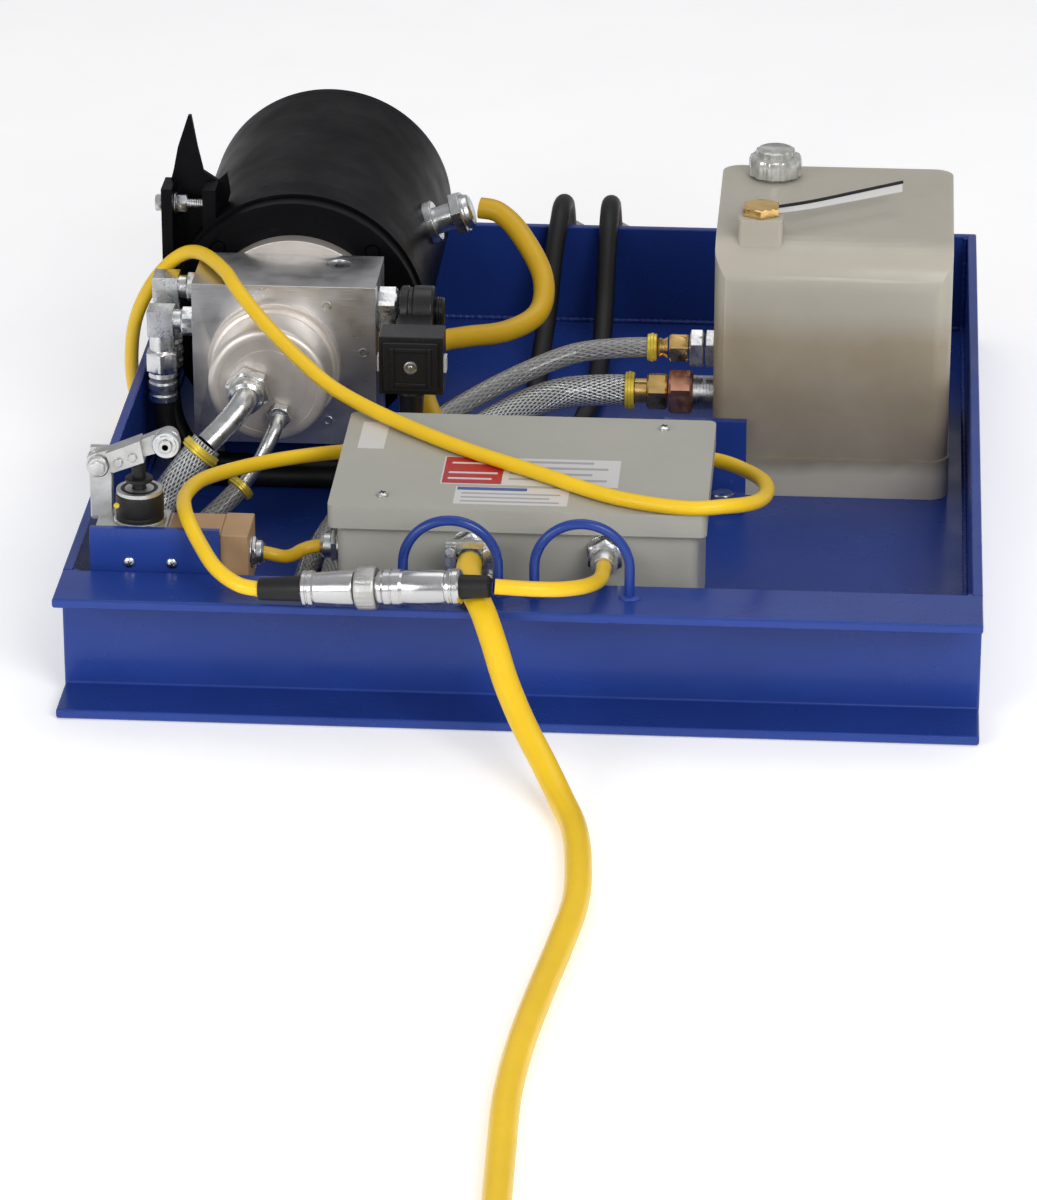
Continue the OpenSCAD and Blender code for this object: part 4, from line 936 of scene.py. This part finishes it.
heads.done("fasteners", ZINC, "zinc", stands_for=("screws",))
# The cross slots are black bars, painted shade in the recesses of the zinc heads.
painted_shade_crosses.done("cross_slots_painted_shade", RUBBER, "black_rubber")


def gland(part, at, axis, flats, dome, l):
    """A cable gland: washer, hexagon and domed nut."""
    at, d = Vector(at), unit(Vector(axis))
    part.rod(at - d * 0.5, at + d * 1.2, flats * 0.56)
    part.hexagon(at + d * 1.2, at + d * l * 0.42, flats)
    profile = [(l * 0.42, dome * 0.94), (l * 0.46, dome), (l * 0.8, dome), (l * 0.9, dome * 0.9),
               (l, dome * 0.78)]
    part.revolve(profile, at, d, 32)


glands = Part()
gland(glands, (-30, -255, 83.6), (0, -1, 0), 23, 9.4, 24)
gland(glands, (48, -255, 83.5), (0, -1, 0), 20, 8, 24)
gland(glands, (-110, -240, 76), (-1, 0, 0), 17, 7.4, 11)
gland(glands, (-50, -117, 68), (0, 1, 0), 20, 9.2, 14)
gland(glands, (-78, -117, 60), (0, 1, 0), 15, 6.6, 12)
gland(glands, (-160, -262, 80), (1, 0, 0), 17, 7, 8)
LEAD_TILT = math.radians(20)
out = Vector((math.cos(LEAD_TILT), 0, math.sin(LEAD_TILT)))
hub = Vector((AX, 190, AZ))
glands.rod(hub + out * 79, hub + out * 86, 14, edge=1)
glands.rod(hub + out * 85, hub + out * 99, 9)
glands.hexagon(hub + out * 98, hub + out * 105.5, 27, 0.2)
glands.revolve([(0, 11.6), (1.4, 12), (2.4, 11), (4.6, 10.4), (5.4, 9)], hub + out * 105, out, 40)
for x in (-41, -19):
    for z in (75.6, 91.6):
        glands.rod((x, -268, z), (x, -281, z), 1.7)
        glands.hexagon((x, -281, z), (x, -284, z), 5.6)
glands.box((-44, -280, 72.6), (-38, -273, 94.6))
glands.box((-22, -280, 72.6), (-16, -273, 94.6))
glands.box((-44, -278, 92.6), (-16, -274, 96.6))
glands.done("glands", ZINC, "zinc", bevel=0.4, stands_for=("cable_glands",))

# ---- limit switch

PIVOT, ROLLER = Vector((-248, 0, 133)), Vector((-207, 0, 150))
PIN = (-225, -260)


def at_y(place, y):
    return (place.x, y, place.z)


from_node("switch_body", CAST, 0.8)
tan = Part()
tan.box((-207, -277.5, 88), (-176, -245, 96.8))
tan.box((-247, -277.5, 88), (-206, -245, 95.6))
tan.box((-176, -278.5, 61), (-159.4, -243.5, 97))
tan.done("switch_tan", TAN, "tan_plastic", bevel=0.8)
Part().box((-250, -278.4, 95.4), (-208, -243.6, 98)).done("switch_plate", CAST, "zinc", bevel=0.8)
upright = Part()
upright.rod(at_y(PIVOT, -258), at_y(PIVOT, -250.6), 8, edge=1)
upright.box((-254.6, -257.2, 97), (-241.4, -250.8, 132))
upright.done("switch_upright", CAST, "zinc", bevel=1.2)
boot = Part()
boot.revolve([(0, 13.6), (1.4, 14), (3.4, 14.1), (4.6, 13.7), (5.8, 14.1), (15, 14.1), (17, 13.9), (18.8, 13),
              (20, 11), (20.2, 9), (19.6, 7.6), (19.4, 4.6)], (*PIN, 98), (0, 0, 1), 48)
boot.done("switch_boot", RUBBER, "black_rubber")
Part().pipe((*PIN, 98), (*PIN, 100), 15.4, 12.4).done("switch_ring", ZINC, "zinc")
pin = Part()
pin.rod((*PIN, 107), (*PIN, 140.5), 4)
pin.rod((*PIN, 122.5), (*PIN, 125), 8)
pin.done("switch_pin_rod", RUBBER, "black_rubber", body="switch_pin", stands_for=("switch_plunger",))

lever = Part()
along = unit(ROLLER - PIVOT)
across = Vector((-along.z, 0, along.x))
arm_l = (ROLLER - PIVOT).length


def arm_point(a, b, h):
    """A point of the lever: a along the arm, b across it, h behind its front face."""
    p = PIVOT + along * a + across * b
    return (p.x, -264 + h, p.z)


outline = [(7.5 * math.cos(math.radians(a)), 7.5 * math.sin(math.radians(a))) for a in range(90, 271, 15)]
outline += [(arm_l * 0.5, -4.2)]
outline += [(arm_l + 6 * math.cos(math.radians(a)), 6 * math.sin(math.radians(a))) for a in range(-90, 91,
                                                                                                  15)]
outline += [(arm_l * 0.5, 5.6)]
lever.slab(outline, arm_point, 7.4)
lever.rod(at_y(PIVOT, -267.5), at_y(PIVOT, -264), 6.4, edge=0.8)
lever.hexagon(at_y(PIVOT, -270), at_y(PIVOT, -267.5), 8)
clamp = [arm_point(a, b, 0) for a, b in ((7, -6), (27, -6.6), (30, 6.6), (8, 6.6))]
lever.rings([[(p[0], y, p[2]) for p in clamp] for y in (-268.5, -255.5)])
for a in (13, 22):
    lever.rod(arm_point(a, -1, -6.4), arm_point(a, -1, 0), 2.6)
lever.rod(at_y(ROLLER, -276), at_y(ROLLER, -263), 2.4)
lever.rod(at_y(ROLLER, -276), at_y(ROLLER, -274), 4)
lever.done("lever_arm", CAST, "zinc", body="lever", bevel=0.8, stands_for=("switch_lever",))
wheel = Part()
wheel.revolve([(0, 2.6), (0, 6), (0.8, 6.3), (0.8, 7.6), (1.6, 8.2), (3.6, 8.3), (4.2, 7.7), (5, 7.7),
               (5.6, 8.3), (7.6, 8.2), (8.4, 7.6),
               (9.2, 7), (9.2, 2.6)], at_y(ROLLER, -273.6), (0, 1, 0), 48)
wheel.done("roller_wheel", ZINC, "zinc", body="roller", stands_for=("switch_roller",))
Part().rod((-237, -271, 111), (-237, -272, 111), 1.8).done("switch_dot", GOLD, "yellow_plate")

# ---- connector and its cords

START = Vector((-121.5, -331, 87.6))
TILT, TURN = math.radians(5), math.radians(-6)
AXIS = Vector((math.cos(TILT) * math.cos(TURN), math.cos(TILT) * math.sin(TURN), math.sin(TILT)))

shell = Part()
shell.revolve([(0, 8), (0, 9.8), (0.7, 10.5), (2.4, 10.5), (2.9, 9.9), (3.5, 9.9), (4, 10.5), (6.4, 10.5),
               (7, 9.6), (7.4, 9.2), (9, 9.3),
               (22, 10.3), (29.6, 10.5), (30.4, 10), (31, 8), (44, 8), (44.2, 9.4), (45, 9.7), (47, 9.7),
               (47.4, 9.3), (48.4, 10.6),
               (52, 10.6), (52.4, 10.2), (53, 10.2), (53.4, 10.6), (57.6, 10.6), (58.4, 10.1), (59.4, 9.8),
               (60, 10), (68, 10.2),
               (82, 9.7), (83.6, 9.3), (84, 8.9), (84.8, 8.9), (85.2, 10.4), (86.6, 10.6), (87.2, 10.1),
               (88, 10.1), (88.6, 10.6),
               (91.4, 10.5), (92.4, 9.8), (93, 8), (93, 6)], START, AXIS, 64)
shell.done("connector_shell", BRIGHT, "bright", stands_for=("connector",), angle=24)
boots = Part()
boots.rod(START - AXIS * 26, START + AXIS * 1, 6.4, 7.6)
boots.rod(START + AXIS * 92, START + AXIS * 109, 7.2, 6.4)
boots.done("connector_boots", RUBBER, "black_rubber")
nut = Part()
q = AXIS.to_track_quat("Z", "Y")
rows = []
for s, r, grip in ((31.6, 8.5, 0), (31.6, 11.6, 0), (32.4, 12.2, 0), (33, 12.2, 1), (42, 12.2, 1),
                   (42.6, 12.2, 0), (43.4, 11.6, 0),
                   (43.4, 8.5, 0)):
    row = []
    for k in range(96):
        rr = r + (0.35 if grip and k % 4 < 2 else 0)
        row.append(START + q @ Vector((rr * math.cos(TAU * k / 96), rr * math.sin(TAU * k / 96), s)))
    rows.append(row)
nut.rings(rows, closed=True)
nut.done("coupling_nut", GRIP, "bright", body="ring", stands_for=("coupling_ring",), angle=40)

PIGTAIL = [(48, -277, 83.5), (48, -291, 84.3), (46, -305, 86), (39, -321, 89.5), (26, -334, 93),
           (9, -341, 95.8),
           (-10.5, -342.7, 97.4)]
Part().tube(PIGTAIL, PENDANT_R, 16, 8).done("pigtail_line", CORD, "yellow_jacket", stands_for=("pigtail",),
                                            angle=80)
MOTOR_LEAD = [
    (-60, 190, 136), (-47, 187, 134), (-32, 174, 124), (-16, 150, 104), (-17, 126, 88),
    (-36, 106, 82), (-62, 88, 84), (-78, 70, 86), (-85, 44, 81), (-83, 16, 76), (-77, -10, 72),
    (-68, -42, 70),
    (-57, -76, 69), (-50, -105, 68),
]
VALVE_LEAD = [(-86, -33, 80), (-86, -36, 72), (-86, -46, 64), (-84, -62, 60), (-80, -84, 60), (-78, -107, 60)]
SWITCH_LEAD = [(-153, -262, 80), (-146, -261.3, 78.2), (-140.5, -258, 75.8), (-136.5, -251, 74),
               (-132.5, -244, 74), (-127, -240.7, 75), (-120, -240, 76)]
leads = Part()
leads.tube(MOTOR_LEAD, 7, 18, 8)
leads.tube(SWITCH_LEAD, 4, 14, 8)
# These leads take the darker copy of the yellow jacket, which is painted shade.
leads.done("leads", LEAD, "yellow_jacket", stands_for=("wiring_leads",), angle=80)
valve_lead = Part()
valve_lead.tube(VALVE_LEAD, 4, 14, 8)
valve_lead.done("valve_lead", RUBBER, "black_rubber", stands_for=("wiring_leads",), angle=80)

# ---- pendant

from_node("pendant_case", CORD, 3.5)
UP_X, DOWN_X, PENDANT_Y = 153, 113, 422
grips = Part()
for x in range(70, 89, 6):
    grips.rod((x, PENDANT_Y - 21, 32), (x, PENDANT_Y + 21, 32), 1.2, sides=10)
for x in (UP_X, DOWN_X):
    grips.pipe((x, PENDANT_Y, 31.5), (x, PENDANT_Y, 33.5), 12.5, 10)
grips.done("pendant_trim", RUBBER, "black_rubber")
for x, body, material, slot in ((UP_X, "up", GREEN, "green_plastic"), (DOWN_X, "down", RED, "red_plastic")):
    b = Part()
    b.revolve([(0, 8.6), (0.5, 9), (10, 9), (11.4, 8.2), (12, 6.4), (12.1, 0.5)], (x, PENDANT_Y, 25),
              (0, 0, 1), 40)
    b.done(body + "_button_cap", material, slot, body=body, stands_for=(body + "_button",))

# ---- floor

FLOOR = 9  # half its width, in metres
ground = bpy.data.meshes.new("ground")
ground.from_pydata([(x, y, 0) for x, y in patch(-FLOOR, -FLOOR, FLOOR, FLOOR)], [], [(0, 1, 2, 3)])
ground = bpy.data.objects.new("ground", ground)
ground.location.z = -0.0005
backdrop = finish("backdrop", (0.9, 0.9, 0.9), 0.6, tone=0.01, grain=0.02)
shine = backdrop.node_tree.nodes["Principled BSDF"]
shine.inputs["Emission Color"].default_value = (1, 1, 1, 1)
shine.inputs["Emission Strength"].default_value = 0.32
ground.data.materials.append(backdrop)
scene.collection.objects.link(ground)
